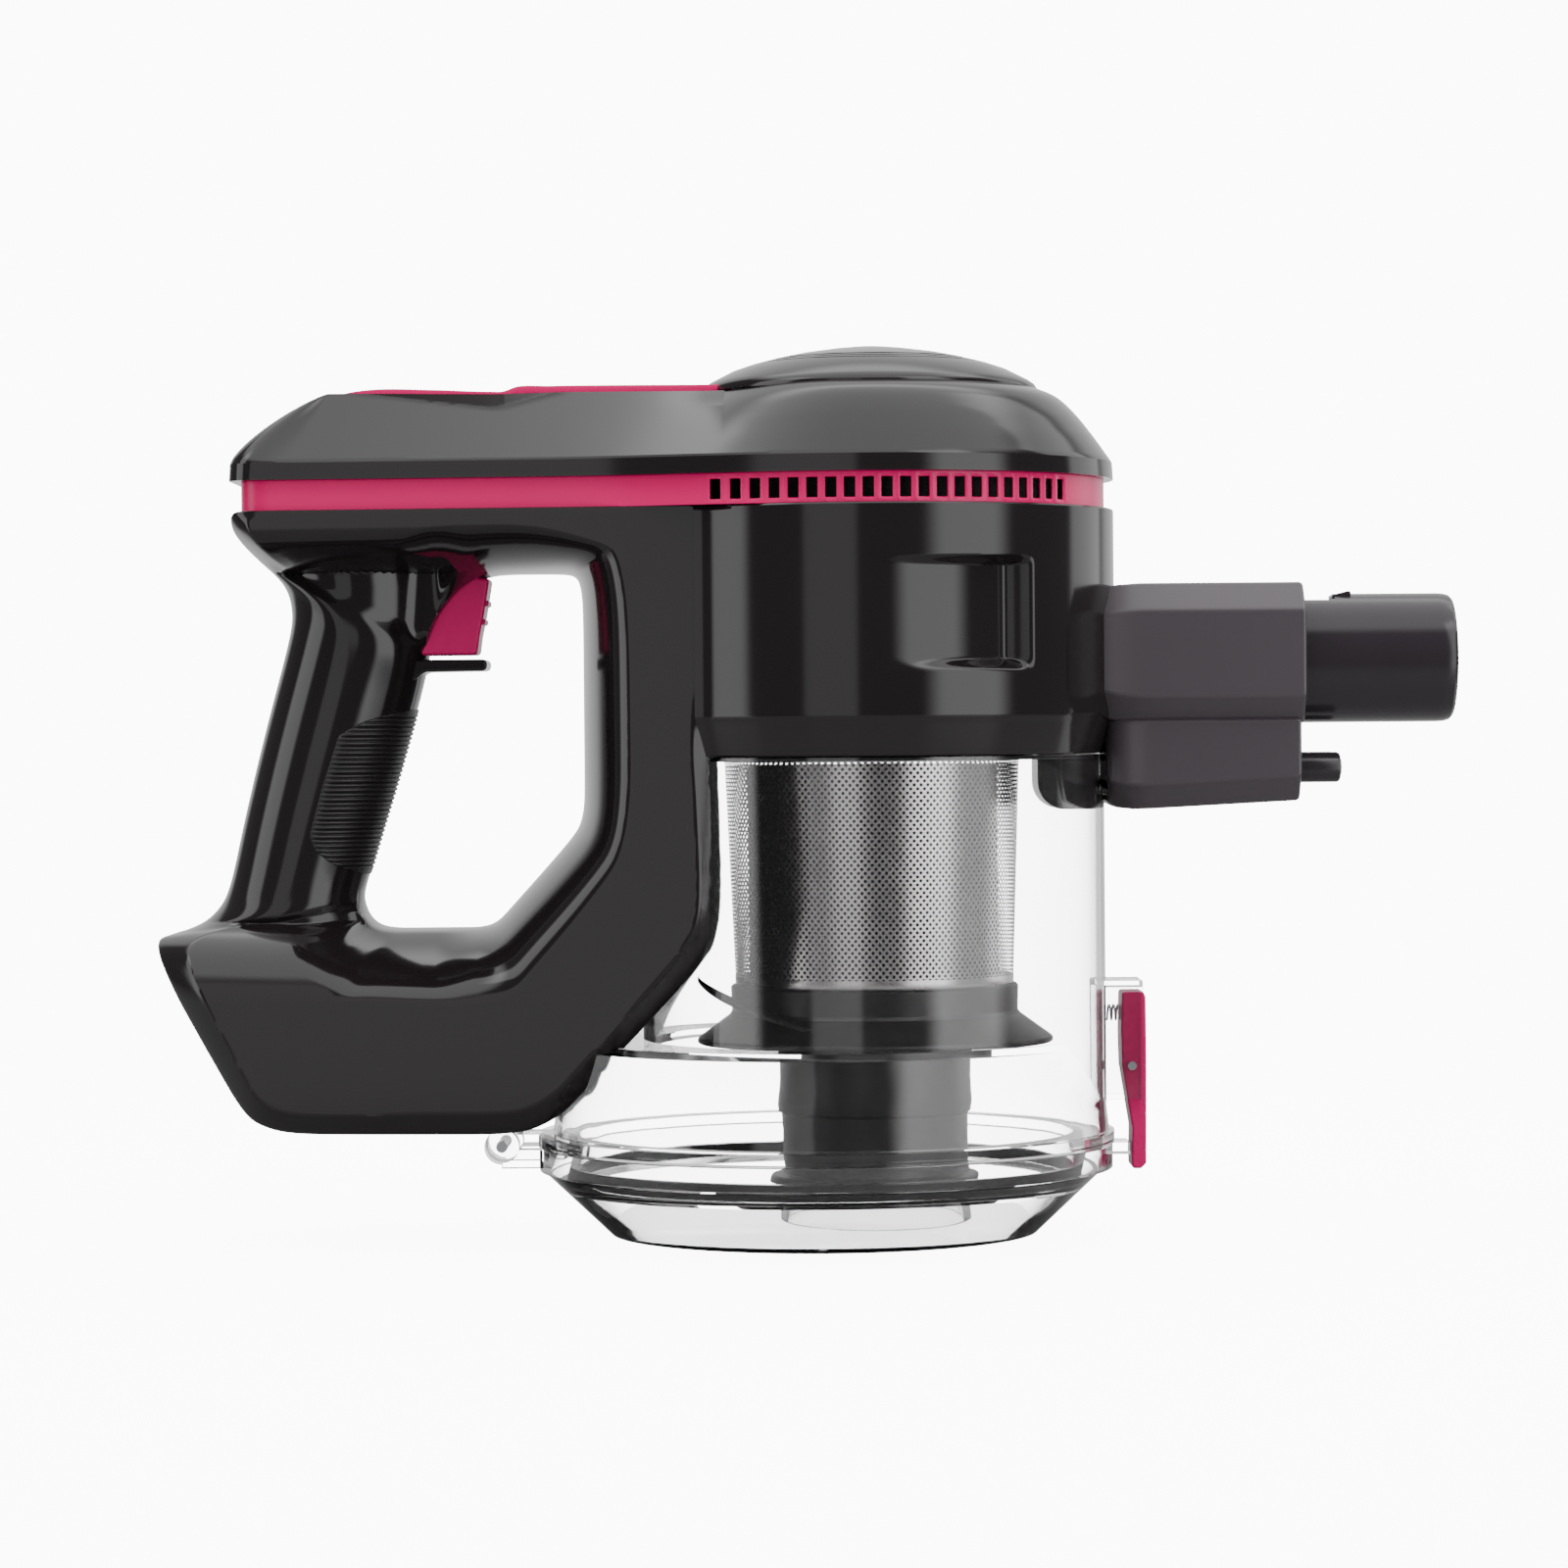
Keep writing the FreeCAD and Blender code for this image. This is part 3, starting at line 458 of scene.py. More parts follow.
# %% [markdown]
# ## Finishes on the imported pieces
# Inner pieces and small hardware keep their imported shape. Their triangles are loose, so a Weld joins
# them, and an edge split with weighted normals keeps flats flat and curves smooth.

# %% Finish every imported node
slot_of = {entry["node"]: entry["material_slot"] for entry in frame["record"]["subparts"]}
for name, item in nodes.items():
    item.data.materials.clear()
    item.data.materials.append(materials[slot_of[name]])
    item.data.polygons.foreach_set("use_smooth", np.ones(len(item.data.polygons), bool))
    weld = item.modifiers.new("weld", "WELD")
    weld.merge_threshold = 2e-6
    split = item.modifiers.new("split", "EDGE_SPLIT")
    split.split_angle = math.radians(28)
    item.modifiers.new("normals", "WEIGHTED_NORMAL")

# %% [markdown]
# ## The handle, arm and foot
# On the real machine two shells meet on the centre plane and form a D: the deck on top, the oval
# grip, the foot with the battery and the arm behind the cup. Modelling that as one lump would hide
# how it flows. Here a section is carried round the D. It starts on the edge of the hand opening,
# rolls out to the flat side, and turns in again at the outer edge. Stations say how wide it is.

# %% Side width and stations round the D
barrel_r = 66.0
collar_r = 63.0
bin_x, bin_r = 6.0, 76.2
bin_shoulder_z = 52.0
cup_low, cup_high = 26.0, 129.0
seam_z = 195.7
flank_slope = 0.0875


def flank(x):
    """Half width of the flat side at x: 50 mm at the arm, closing in by 5 degrees to the rear."""
    return 50.0 + flank_slope * (x + 21.0)


# inner x, z, outer x, z, inner roll, outer roll, turn-in depth, grip share, grip half width
stations = np.array([
    (-64.0, 179.5, -42, seam_z, 12, 3, 0, 0, 19), (-75, 179.5, -73, seam_z, 11.5, 3, 0, 0, 19),
    (-84, 179.4, -90, seam_z, 12.5, 3, 0, 0, 19), (-90, 177.6, -106, seam_z, 18, 3, 0, .0, 19),
    (-95, 173.4, -124, seam_z, 18, 3, 0, .0, 19), (-98.5, 168.5, -146, seam_z, 19, 3, 0, .05, 19),
    (-99.6, 166.5, -152.5, seam_z, 19, 5, 3, .1, 19), (-100.4, 164.6, -153, 190.5, 19, 8, 12, .28, 19),
    (-101.4, 161.8, -147.5, 183.6, 24, 14, 18, .55, 20), (-102.2, 158, -140.6, 176.5, 20, 17, 19, .9, 20),
    (-103.2, 153, -139.2, 168, 18.0, 18.0, 19, 1, 19.3), (-104.6, 147, -141.6, 158, 18.9, 18.9, 19, 1, 19),
    (-107.4, 137, -146.0, 142, 19.4, 19.4, 19, 1, 19), (-111.2, 124, -150.0, 126.5, 19.4, 19.4, 19, 1, 19),
    (-115.6, 110, -153.8, 110.5, 19.1, 19.1, 19, 1, 19), (-118.8, 99.5, -156.2, 99, 18.8, 18.8, 19, 1, 19.3),
    (-120.5, 94, -158.6, 91, 18, 19, 19.5, .96, 19.8), (-120.7, 91.5, -163.6, 85.6, 19, 21, 20, .85, 21),
    (-120.3, 89.5, -170.5, 83.0, 24, 20, 21, .62, 22), (-119.9, 88.4, -175.2, 82.0, 30, 14, 20, .42, 22),
    (-119.4, 87.3, -174.4, 78.2, 19, 8, 10, .15, 22), (-118.6, 86.2, -167.6, 65, 19, 7, 8, .02, 22),
    (-117.2, 84.9, -159.0, 50, 19, 6.5, 7, 0, 22), (-115.0, 84.0, -152.8, 39.3, 19, 6, 6, 0, 22),
    (-111.5, 83.6, -148.2, 33.4, 21.5, 5.5, 5, 0, 22), (-107.5, 83.6, -139.3, 30.3, 20, 5.5, 5, 0, 22),
    (-101, 83.6, -118, 30.2, 18.6, 5.5, 5, 0, 22), (-94.5, 83.6, -98, 30.2, 18.6, 5.5, 5, 0, 22),
    (-89.5, 83.6, -84, 30.2, 18.6, 5.5, 5, 0, 22), (-86, 84.3, -73.6, 31, 18, 5.5, 5, 0, 22),
    (-83.5, 85.9, -64.5, 36, 18, 5.5, 5, 0, 22), (-80, 89.8, -57.5, 44, 17, 5.5, 5, 0, 22),
    (-73, 97.5, -45, 57, 16, 5.5, 5, 0, 22), (-66.5, 104.8, -32, 71, 15, 5.7, 5, 0, 22),
    (-61.9, 110.4, -23.6, 81, 14.5, 6.5, 6, 0, 22), (-60.5, 116, -21, 96, 14, 8.3, 7, 0, 22),
    (-60.4, 124, -21, 118, 14, 8.3, 7, 0, 22), (-60.4, 130, -22, 129.7, 14, 8, 6.5, 0, 22),
    (-60.4, 138, -27, 140, 14, 3, 0, 0, 22), (-60.4, 152, -27, 156, 14, 3, 0, 0, 22),
    (-60.4, 166, -27, 176, 14, 3, 0, 0, 22), (-60.6, 173.5, -27, seam_z, 14, 3, 0, 0, 22),
    (-61.6, 178, -33, seam_z, 13, 3, 0, 0, 22)])


def round_the_d(per_station=12, softness=4.0):
    """Stations spread evenly along the loop, then averaged with their neighbours to soften corners."""
    count = len(stations) * per_station
    t = np.arange(count) / per_station
    looped = np.vstack([stations, stations[:1]])
    dense = np.stack([np.interp(t, np.arange(len(looped)), column) for column in looped.T], 1)
    reach = np.arange(-12, 13)
    kernel = np.exp(-0.5 * (reach / softness) ** 2)
    kernel /= kernel.sum()
    return sum(w * np.roll(dense, s, 0) for w, s in zip(kernel, reach))


def clear_of_cup(points, gap=0.9):
    """Points that would stand inside the cup are moved back to a shell just outside it."""
    x, y, z = points[..., 0], points[..., 1], points[..., 2]
    upper = motor_x - np.sqrt(np.maximum((collar_r + gap) ** 2 - y ** 2, 0))
    lower = bin_x - np.sqrt(np.maximum((bin_r + gap) ** 2 - y ** 2, 0))
    limit = np.where(z < bin_shoulder_z, lower, upper)
    inside = (z < cup_high) & (z > cup_low) & (x > limit)
    return np.stack([np.where(inside, limit, x), y, z], -1)


deck_under, foot_top = 191.0, 66.0
slim_w = 12.0
melt = 1.5


def grip_oval(x, z):
    """Half width of the grip at (x, z): w sqrt(1 - ((x - centre) / depth)^2), flared at both ends."""
    keys = [76.0, 90.0, 106.0, 143.0, 163.0, 176.0, 189.0]
    centre = np.interp(z, keys, [-139.0, -139.4, -136.4, -125.9, -121.8, -121.5, -123.0])
    depth = np.interp(z, keys, [22.0, 19.2, 18.6, 20.1, 18.7, 19.2, 21.0])
    width = np.interp(z, keys, [21.0, 19.5, 19.0, 19.0, 18.5, 18.9, 20.5])
    inside = np.maximum(1 - ((x - centre) / depth) ** 2, 0)
    shown = clamp((z - 70) / 10) * clamp((196 - z) / 4)
    return width * np.sqrt(inside) * shown


def side_height(s, across, d_in, d_out):
    """Half width at each point of the sections, from its distance to the inner and outer edge.

    The body is the flat side less a turn-in near the outer edge, times a quarter-round rise from the
    inner edge. Between the deck's underside and the top of the foot it slims down, and the grip's
    oval takes over by a soft maximum. Where the share is high, the section is the grip's own round.
    """
    inner_roll, outer_roll, depth, share, grip_w = (s[:, k, None] for k in range(4, 9))
    x, z = across[..., 0], across[..., 1]
    short = 1 - clamp(d_in / np.minimum(inner_roll, 0.5 * (d_in + d_out) + 12))
    bend = 1 - np.sqrt(np.maximum(1 - short ** 2, 0))
    turn = clamp(d_out / np.maximum(outer_roll, 0.1))
    oval = np.sqrt(1 - (1 - turn) ** 2)
    wide = flank(x)
    body = (wide - np.minimum(depth, wide) * (1 - 0.75 * turn - 0.25 * oval)) * (1 - 0.1 * short - 0.9 * bend)
    grip = (grip_w - np.minimum(depth, grip_w) * (1 - oval)) * (1 - bend)
    under_deck = clamp((deck_under - z) / 11.0)
    over_foot = clamp((z - foot_top) / 20.0)
    cap = np.minimum(under_deck, over_foot)
    drop = 0.9 * (1 - np.sqrt(1 - cap ** 2)) + 0.1 * cap
    body = body - np.maximum(body - slim_w, 0) * drop * smooth((-88.0 - x) / 12.0)
    bulge = grip_oval(x, z)
    high = np.maximum(body, bulge)
    spill = np.log(np.exp((body - high) / melt) + np.exp((bulge - high) / melt))
    body = high + melt * spill * clamp(bulge)
    weight = smooth((share - 0.4) / 0.6)
    return body * (1 - weight) + grip * weight


def d_shell(side, columns=72):
    """Section carried round the D on one side of the centre plane, its columns denser at the edges.

    Each section runs straight from the inner to the outer edge of the loop with the half width of
    side_height. The last stretch closes the outer edge down to the centre plane.
    """
    s = round_the_d()
    inner, outer = s[:, None, 0:2], s[:, None, 2:4]
    span = np.linalg.norm(outer - inner, axis=-1)
    even = np.linspace(0, 1, columns)
    v = 0.7 * (0.5 - 0.5 * np.cos(math.pi * even)) + 0.3 * even
    across = inner + (outer - inner) * v[None, :, None]
    y = side_height(s, across, v[None] * span, (1 - v[None]) * span)
    y[:, 0] = 0.0
    closing = np.linspace(1, 0, 14)[1:]
    edge = np.broadcast_to(outer, (len(s), len(closing), 2))
    xz = np.concatenate([across, edge], 1)
    y = np.concatenate([y, y[:, -1:] * closing[None]], 1)
    return clear_of_cup(np.stack([xz[..., 0], side * y, xz[..., 1]], -1))


# %% [markdown]
# ## The motor barrel
# The same shells wrap round the motor. Seen from above, the wall is a circle that melts into the flat
# side, and its lower edge is a collar that stands over the cup. A shallow hand-hold is pressed into
# each side. Cutting it with a boolean would leave hard creases, so it is a dent in the radius.

# %% Motor barrel with its collar and side pocket
def barrel_outline(angle):
    """Radius of the plan at an angle from the nozzle direction: a circle that melts into the flat side."""
    side_w = 53.41
    straight = side_w / (np.sin(angle) - flank_slope * np.cos(angle))
    circle = np.full_like(angle, barrel_r)
    soft = 1.6
    leaves = 1.7
    high = np.maximum(straight, circle)
    late = clamp((angle - leaves) / 0.3)
    blend = soft * np.log(np.exp((straight - high) / soft) + np.exp((circle - high) / soft)) * late
    return np.where(angle > leaves, high + blend * 0.8, circle)


def pocket_depth(angle, z):
    """Depth of the hand-hold: it grows from nothing at its rear to 5.8 mm at its slanted front wall."""
    ahead = math.pi / 2 - angle
    reach = clamp(ahead / math.radians(33.0))
    depth = 5.8 * reach ** 1.15
    front = clamp((math.radians(39.5) - ahead) / math.radians(5.5))
    tall = clamp((z - 151.5) / 4.0) * clamp((182.2 - z) / 3.0)
    return depth * smooth(front) * smooth(tall)


def barrel_shell(side):
    """Plan outline carried up: lip inside the seat, collar chamfer, side with its pocket, top ledge."""
    arm_angle = 2.335
    angle = [np.linspace(0, 0.8, 40), np.linspace(0.81, 1.62, 150)[:-1], np.linspace(1.62, arm_angle, 60)]
    angle = np.concatenate(angle)
    tall = [np.linspace(140.6, 150, 6), np.linspace(150.6, 157, 20), np.linspace(158, 177, 20)]
    tall = np.concatenate(tall + [np.linspace(177.6, 184, 20), np.linspace(185, 195.2, 7)])
    seat_r = 42.0
    seat = seat_r - barrel_r
    radial = [(seat, 131.5), (seat, 129.9), (-4.2, 129.7), (-3.2, 129.7), (-2.9, 130.1)]
    radial += [(-0.28 - 2.7 * (1 - t), 130.1 + 9.4 * t) for t in np.linspace(0, 1, 6)]
    radial += [(-0.05, 140.1)] + [(0.0, z) for z in tall]
    radial += [(-0.25, 195.6), (-0.6, seam_z), (-5.0, seam_z), (-5.0, 191.0)]
    radial = np.array(radial)
    outline = barrel_outline(angle)
    r = outline[:, None] + radial[None, :, 0]
    z = np.broadcast_to(radial[None, :, 1], r.shape)
    on_side = (radial[:, 0] == 0.0)[None]
    r = r - np.where(on_side, pocket_depth(angle[:, None], z), 0)
    x = motor_x + r * np.cos(angle)[:, None]
    y = r * np.sin(angle)[:, None]
    return np.stack([x, side * y, z], -1)


for side, name in ((-1, "right"), (1, "left")):
    make_piece("shell_" + name, [(d_shell(side) * mm, True, False), (barrel_shell(side) * mm, False, False)],
               "housing", "black_gloss", ("housing_" + name,), angle=32.0, outward=sideways(side, 0.035))

# %% [markdown]
# ## The finger guard
# A thin ledge under the trigger keeps the other fingers off it. It is part of the shells' moulding,
# and it is made on its own here, as a plate with rolled edges, because it leaves the grip so sharply.

# %% Finger guard under the trigger
guard = [(-107, 150.0), (-103.0, 153.1), (-86.3, 153.3), (-86.1, 156.4), (-107, 156.4)]
guard = rounded(guard, [0.8, 3, 1.3, 1.3, 0.8])
guard_half = 10
make_piece("finger_guard", [slab(guard, -guard_half, guard_half, 0.7)], "housing", "black_gloss",
           flat_faces=True)

# %% [markdown]
# ## The top cover
# The real cover is one moulding: a round shoulder over the motor runs into a deck whose sides slope
# like a roof with soft edges. Both have the same low lip. A section in the shape of that slope is
# carried round the plan outline; over the motor it turns into the shoulder's quarter oval.

# %% Cover
def cover_plan(inset=0.0, rear_corner=8.0):
    """Plan outline of one half, nose to tail: circle about the motor, flat side, rounded corner."""
    turn = np.linspace(0, math.pi / 2 + 0.0873, 92)
    r = barrel_r - inset
    arc = np.stack([motor_x + r * np.cos(turn), r * np.sin(turn)], 1)
    rear = -153.0 + inset
    xs = np.linspace(arc[-1, 0] - 1.0, rear + rear_corner, 80)
    end_w = flank(rear + rear_corner) - inset
    bulge = arc[-1, 1] - (flank(arc[-1, 0]) - inset)
    side = np.stack([xs, flank(xs) - inset + bulge * smooth((xs + 70) / 78.0)], 1)
    corner = np.linspace(0, math.pi / 2, 12)[1:]
    round_off = np.stack([1 - np.sin(corner), np.cos(corner) - 1], 1) * rear_corner + (rear, end_w)
    tail = np.stack([np.full(14, rear), np.linspace(end_w - rear_corner, 0, 15)[1:]], 1)
    return np.concatenate([arc, side, round_off, tail])


deck_top = 227.6
cover_low, lip_top = 203.8, 208.9
ring_r, ring_top = 45.4, 228.7
ring_end_x = -26.0
lip_up = np.array([(0.0, cover_low), (0.0, 204.2), (0.25, 208.3), (0.55, lip_top)])
shoulder_keys = [0.0, 0.30, 0.50, 0.75, 1.0]
shoulder_in = [0.0, 0.255, 0.455, 0.71, 1.0]
shoulder_up = [0.0, 0.365, 0.62, 0.865, 1.0]


def cover_top_edge(x, y, scoop):
    """Top edge facing each plan point: the ring round the motor, and then the ridge of the deck."""
    back = math.pi / 2 + 1.066 * clamp((motor_x - x) / (motor_x - ring_end_x))
    angle = np.where(x > motor_x, np.arctan2(y, x - motor_x), back)
    ring = np.stack([motor_x + ring_r * np.cos(angle), ring_r * np.sin(angle)], 1)
    ridge = np.stack([np.maximum(x, -127.5), np.minimum(22.0 + 4.5 * scoop, y)], 1)
    return np.where((x > ring_end_x)[:, None], ring, ridge)


def cover_shell():
    """Section by place on the plan outline, from a lip 5 mm high up to the top edge.

    Round the motor the section bows like a shoulder. Along the deck it is straight, so the side is
    one flat facet, and at the tail it is a little rounded. A thumb scoop breaks the top edge of the
    deck: there the edge stands further out over a steep little facet.
    """
    plan = cover_plan()
    x, y = plan[:, 0], plan[:, 1]
    scoop = np.interp(x, [-122, -82, -64], [0, 1, 0])
    inward = cover_top_edge(x, y, scoop) - plan
    reach = np.linalg.norm(inward, axis=1)
    unit = inward / np.maximum(reach, 1e-6)[:, None]
    front = smooth((x + 44) / 60.0)[:, None]
    tail = smooth((-138 - x) / 13.0)[:, None]
    lift = np.where(x > ring_end_x, ring_top - 1.1 * smooth((10 - x) / 36.0), deck_top - 0.8 * scoop)[:, None]
    t = np.linspace(0, 1, 31)[None]
    kink = 1 - 0.24 * scoop[:, None]
    flat_in = np.where(t < kink, t, kink + (t - kink) * 0.35)
    flat_in = flat_in / flat_in[:, -1:]
    bow_in = glide(t, shoulder_keys, shoulder_in)
    bow_up = glide(t, shoulder_keys, shoulder_up)
    deck = (1 - front) * (1 - tail)
    run = flat_in * deck + bow_in * front + t ** 1.3 * tail
    rise = t * deck + bow_up * front + (1 - (1 - t) ** 1.15) * tail
    lip_in = lip_up[-1, 0]
    run = lip_in + run * (reach[:, None] - lip_in)
    level = lip_top + rise * (lift - lip_top)
    lip_run = np.broadcast_to(lip_up[:, 0], (len(x), len(lip_up)))
    lip_level = np.broadcast_to(lip_up[:, 1], lip_run.shape)
    run, level = np.concatenate([lip_run, run[:, 1:]], 1), np.concatenate([lip_level, level[:, 1:]], 1)
    roof = np.stack([x[:, None] + unit[:, 0:1] * run, y[:, None] + unit[:, 1:2] * run, level], -1)
    crown = np.repeat(roof[:, -1:], 7, axis=1)
    crown[..., 1] *= np.linspace(1, 0, 8)[1:]
    middle = np.stack([x, y * 0, np.full(len(x), cover_low)], 1)[:, None, :]
    rim = np.stack([x, y * 0.9, np.full(len(x), cover_low)], 1)[:, None, :]
    return np.concatenate([middle, rim, roof, crown], 1)


half = cover_shell() * mm
make_piece("cover_skin", [(half, False, False), (half * np.array([1, -1, 1]), False, False)],
           "housing", "black_gloss", ("top_cover",), angle=20.0, outward=upwards(0.21))

# %% [markdown]
# ## The slotted band
# A bright band runs under the cover, a little set back. On each side 21 slots let the motor's air out.
# The plan outline is walked 2.5 mm in; columns fall on the slots' edges, the squares in the slots are
# left out, and a Solidify gives the moulding its thickness.

# %% Band with slots
def band_wall(side):
    """Columns by distance along the outline, rows by height; slots are 3.0 x 5.3 mm windows."""
    outline = cover_plan(2.5)
    outline = np.stack([np.convolve(np.pad(c, 4, "edge"), np.ones(9) / 9, "valid") for c in outline.T], 1)
    outline[0, 1] = outline[-1, 1] = 0.0
    walk = np.concatenate([[0], np.cumsum(np.linalg.norm(np.diff(outline, axis=0), axis=1))])
    turn = np.radians(90 - np.linspace(51.4, -36.8, 21))
    bearing = np.unwrap(np.arctan2(outline[:, 1], outline[:, 0] - motor_x))
    centre = np.interp(turn, bearing, walk)
    slot_half = 1.5
    edges = np.stack([centre - slot_half, centre + slot_half], 1).ravel()
    keep = np.abs(walk[:, None] - edges[None]).min(1) > 0.35
    u = np.sort(np.concatenate([walk[keep], edges]))
    z = np.array([seam_z, 195.9, 197.0, 202.3, 203.6, cover_low])
    xy = np.stack([np.interp(u, walk, outline[:, 0]), np.interp(u, walk, outline[:, 1]) * side], 1)
    levels = np.broadcast_to(z[None, :, None], (len(u), len(z), 1))
    verts = np.concatenate([np.repeat(xy[:, None], len(z), 1), levels], 2)
    faces = quads(len(u), len(z), 0)
    middle = 0.5 * (u[:-1] + u[1:])
    in_slot = np.abs(middle[:, None] - centre[None]).min(1) < slot_half - 0.05
    window = in_slot[:, None] & (np.arange(len(z) - 1) == 2)[None]
    return verts.reshape(-1, 3) * mm, faces[~window.ravel()]


for side, name in ((-1, "right"), (1, "left")):
    verts, faces = band_wall(side)
    mesh = bpy.data.meshes.new("band_" + name)
    mesh.from_pydata(verts.tolist(), [], faces.tolist())
    piece = finish_mesh("band_" + name, mesh, "housing", "pink_gloss", ("vent_band",), angle=40.0,
                        outward=sideways(side, 0.03))
    wall = piece.modifiers.new("wall", "SOLIDIFY")
    wall.thickness = 0.0009
    wall.offset = -1.0

# %% [markdown]
# ## The dome over the motor
# The dome is a shallow turned cap. Three fine grooves run round it where a cutter would mark it. One
# profile is turned about the motor axis.

# %% Dome
grooves = [(32.4, 235.7), (32.2, 234.8), (31.3, 234.9), (31.2, 236.0), (29.9, 236.35), (29.7, 235.4),
           (28.8, 235.5), (28.7, 236.65), (27.4, 236.95), (27.2, 236.0), (26.3, 236.2), (26.2, 237.3)]
dome_profile = [(0, 228.0), (45.6, 228.0), (45.5, 228.9), (44.9, 229.9), (43.3, 231.0), (37.4, 234.0),
                *grooves, (19, 238.8), (10.7, 240.0), (5, 240.6), (0.0, 240.8)]
dome_grid = lathe(dome_profile, closed=False, sides=160)
make_piece("dome", [dome_grid], "housing", "black_gloss", ("dome_cap",), angle=30.0)

# %% [markdown]
# ## The bright inlay
# A coloured strip lies in the deck top. It has a shallow thumb dish at the rear and steps up in front
# before it meets the dome. Its height along the deck is a smooth curve, and its sides are rolled.

# %% Inlay
def inlay_strip():
    """Height by distance along the deck, half width by the rounded rear end; edges roll down 0.9 mm."""
    x = [np.linspace(-126.5, -119, 16), np.linspace(-118, -90, 16), np.linspace(-89, -76, 20)]
    x = np.concatenate(x + [np.linspace(-74, -20, 12)])
    z = glide(x, [-130, -124, -118, -100, -84, -81, -77, -70, -20],
              [226.4, 228.0, 228.9, 228.9, 228.3, 228.3, 229.6, 229.7, 229.7])
    w = 19.7 - 5.0 * clamp((-120 - x) / 6.5) ** 2
    s = np.concatenate([[-1, -1], np.linspace(-1, 1, 13), [1, 1]])
    drop = np.concatenate([[2.4, 0.8], [0.28, 0.05], np.zeros(9), [0.05, 0.28], [0.8, 2.4]])
    inset = np.concatenate([[0, 0], [0.3, 0.1], np.zeros(9), [0.1, 0.3], [0, 0]])
    y = s[None] * w[:, None] - np.sign(s)[None] * inset[None]
    level = z[:, None] - drop[None]
    level[0] = 225.4
    return np.stack([np.broadcast_to(x[:, None], y.shape), y, level], -1)


make_piece("inlay_strip", [(inlay_strip() * mm, False, True)], "housing", "pink_gloss", ("top_inlay",),
           angle=40.0, outward=upwards(0.2275))

# %% [markdown]
# ## The nozzle
# The tube takes a wand or a tool. It is turned about its own axis, with a rounded mouth. Its catch
# notch is cut in the top, and the inlet block behind it is a boxy moulding with rolled edges.

# %% Nozzle tube
tube_r, tube_z = 17.5, 155.0
flat_z = 170.4
tube_profile = [(14.5, 92), (14.5, 174.6), (14.9, 175.5), (15.6, 175.8), (16.2, 175.7), (17.0, 174.9),
                (17.4, 173.4), (tube_r, 171.5), (tube_r, 134.0), (17.2, 133.9), (17.2, 96.0), (17.2, 92)]


def notched_tube():
    """Turned profile with six rings added at the notch; points in it are pressed down to the flat."""
    points, full, closed = lathe(tube_profile, x=0.0, y=tube_z, sides=180, closed=False, axis="x")
    grid = points / mm
    cuts = np.array([134.3, 134.6, 136, 142.6, 143.2, 143.6])[::-1]
    angle = np.arctan2(grid[:, 5, 2] - tube_z, grid[:, 5, 1])[:, None]
    ring_y, ring_z = tube_r * np.cos(angle), tube_z + tube_r * np.sin(angle)
    extra = np.stack(np.broadcast_arrays(cuts[None], ring_y, ring_z), -1)
    grid = np.concatenate([grid[:, :8], extra, grid[:, 8:]], 1)
    notch = (grid[..., 0] > 134.4) & (grid[..., 0] < 143.4) & (np.abs(grid[..., 1]) < 7.2)
    notch &= grid[..., 2] > flat_z
    grid[..., 2] = np.where(notch, flat_z, grid[..., 2])
    return grid * mm, full, closed


make_piece("nozzle_pipe", [notched_tube()], "housing", "tube_black", ("nozzle_tube",), angle=30.0)
catch_x, catch_z = 145.6, 172.0
catch = rounded([(-2.6, -0.7), (2.6, -0.7), (2.6, 0.7), (-2.6, 0.7)], 0.65)
tilt = math.radians(14)
turned = np.array([[math.cos(tilt), math.sin(tilt)], [-math.sin(tilt), math.cos(tilt)]])
catch = catch @ turned + (catch_x, catch_z)
make_piece("wand_catch", [slab(catch, -5, 5, 0.3)], "housing", "tube_black")

# %% [markdown]
# ## The inlet block
# The block joins the nozzle to the cup: a boxy head round the tube, a lower duct that carries the
# dust in, and a snout that seals against the cup. Primitive boxes would have neither the cut-off
# corners nor the taper, so an eight-cornered section is skinned along x.

# %% Inlet block
def box_loft(sections, radius):
    """Rounded end outlines (y, z) at several x, skinned along the block; both ends are filled."""
    rings = []
    for x, half_w, low, high, low_cut, high_cut in sections:
        low_in, low_up = half_w - low_cut, low + low_cut * 1.1
        high_in, high_down = half_w - high_cut, high - high_cut * 0.93
        corners = [(-low_in, low), (-half_w, low_up), (-half_w, high_down), (-high_in, high),
                   (high_in, high), (half_w, high_down), (half_w, low_up), (low_in, low)]
        outline = rounded(corners, radius, 5)
        rings.append(np.column_stack([np.full(len(outline), x), outline]))
    rings = np.array(rings)
    caps = rings[[0, -1]].mean(1, keepdims=True) * np.ones((1, rings.shape[1], 1))
    return np.concatenate([caps[:1], rings, caps[1:]]) * mm, False, True


# x, half width, low, high, low corner cut, high corner cut
head_box = [(72, 19.5, 141, 172.2, 5, 7), (76, 21.5, 140, 173.4, 6, 7.5), (80, 23.1, 139, 174.4, 6.5, 8),
            (84, 24, 138.2, 175, 6.5, 8), (90, 24.5, 137.5, 175.4, 6.5, 8), (100, 24.5, 137.5, 175.4, 6.5, 8),
            (132.9, 24.5, 137.5, 175.4, 6.5, 8), (133.7, 24.2, 137.8, 175.1, 6.5, 8),
            (134, 23.6, 138.4, 174.5, 6.5, 8)]
duct_box = [(80.6, 13, 117.4, 139, 5, 1), (81.6, 15.6, 116, 139, 5.4, 1), (84, 18.2, 114.9, 139, 5.8, 1),
            (88, 19.6, 114.5, 139, 6, 1), (93, 20, 114.6, 139, 6, 1), (131.9, 20, 116.5, 139, 6, 1),
            (132.7, 19.7, 116.8, 139, 6, 1), (133, 19.1, 117.4, 139, 6, 1)]
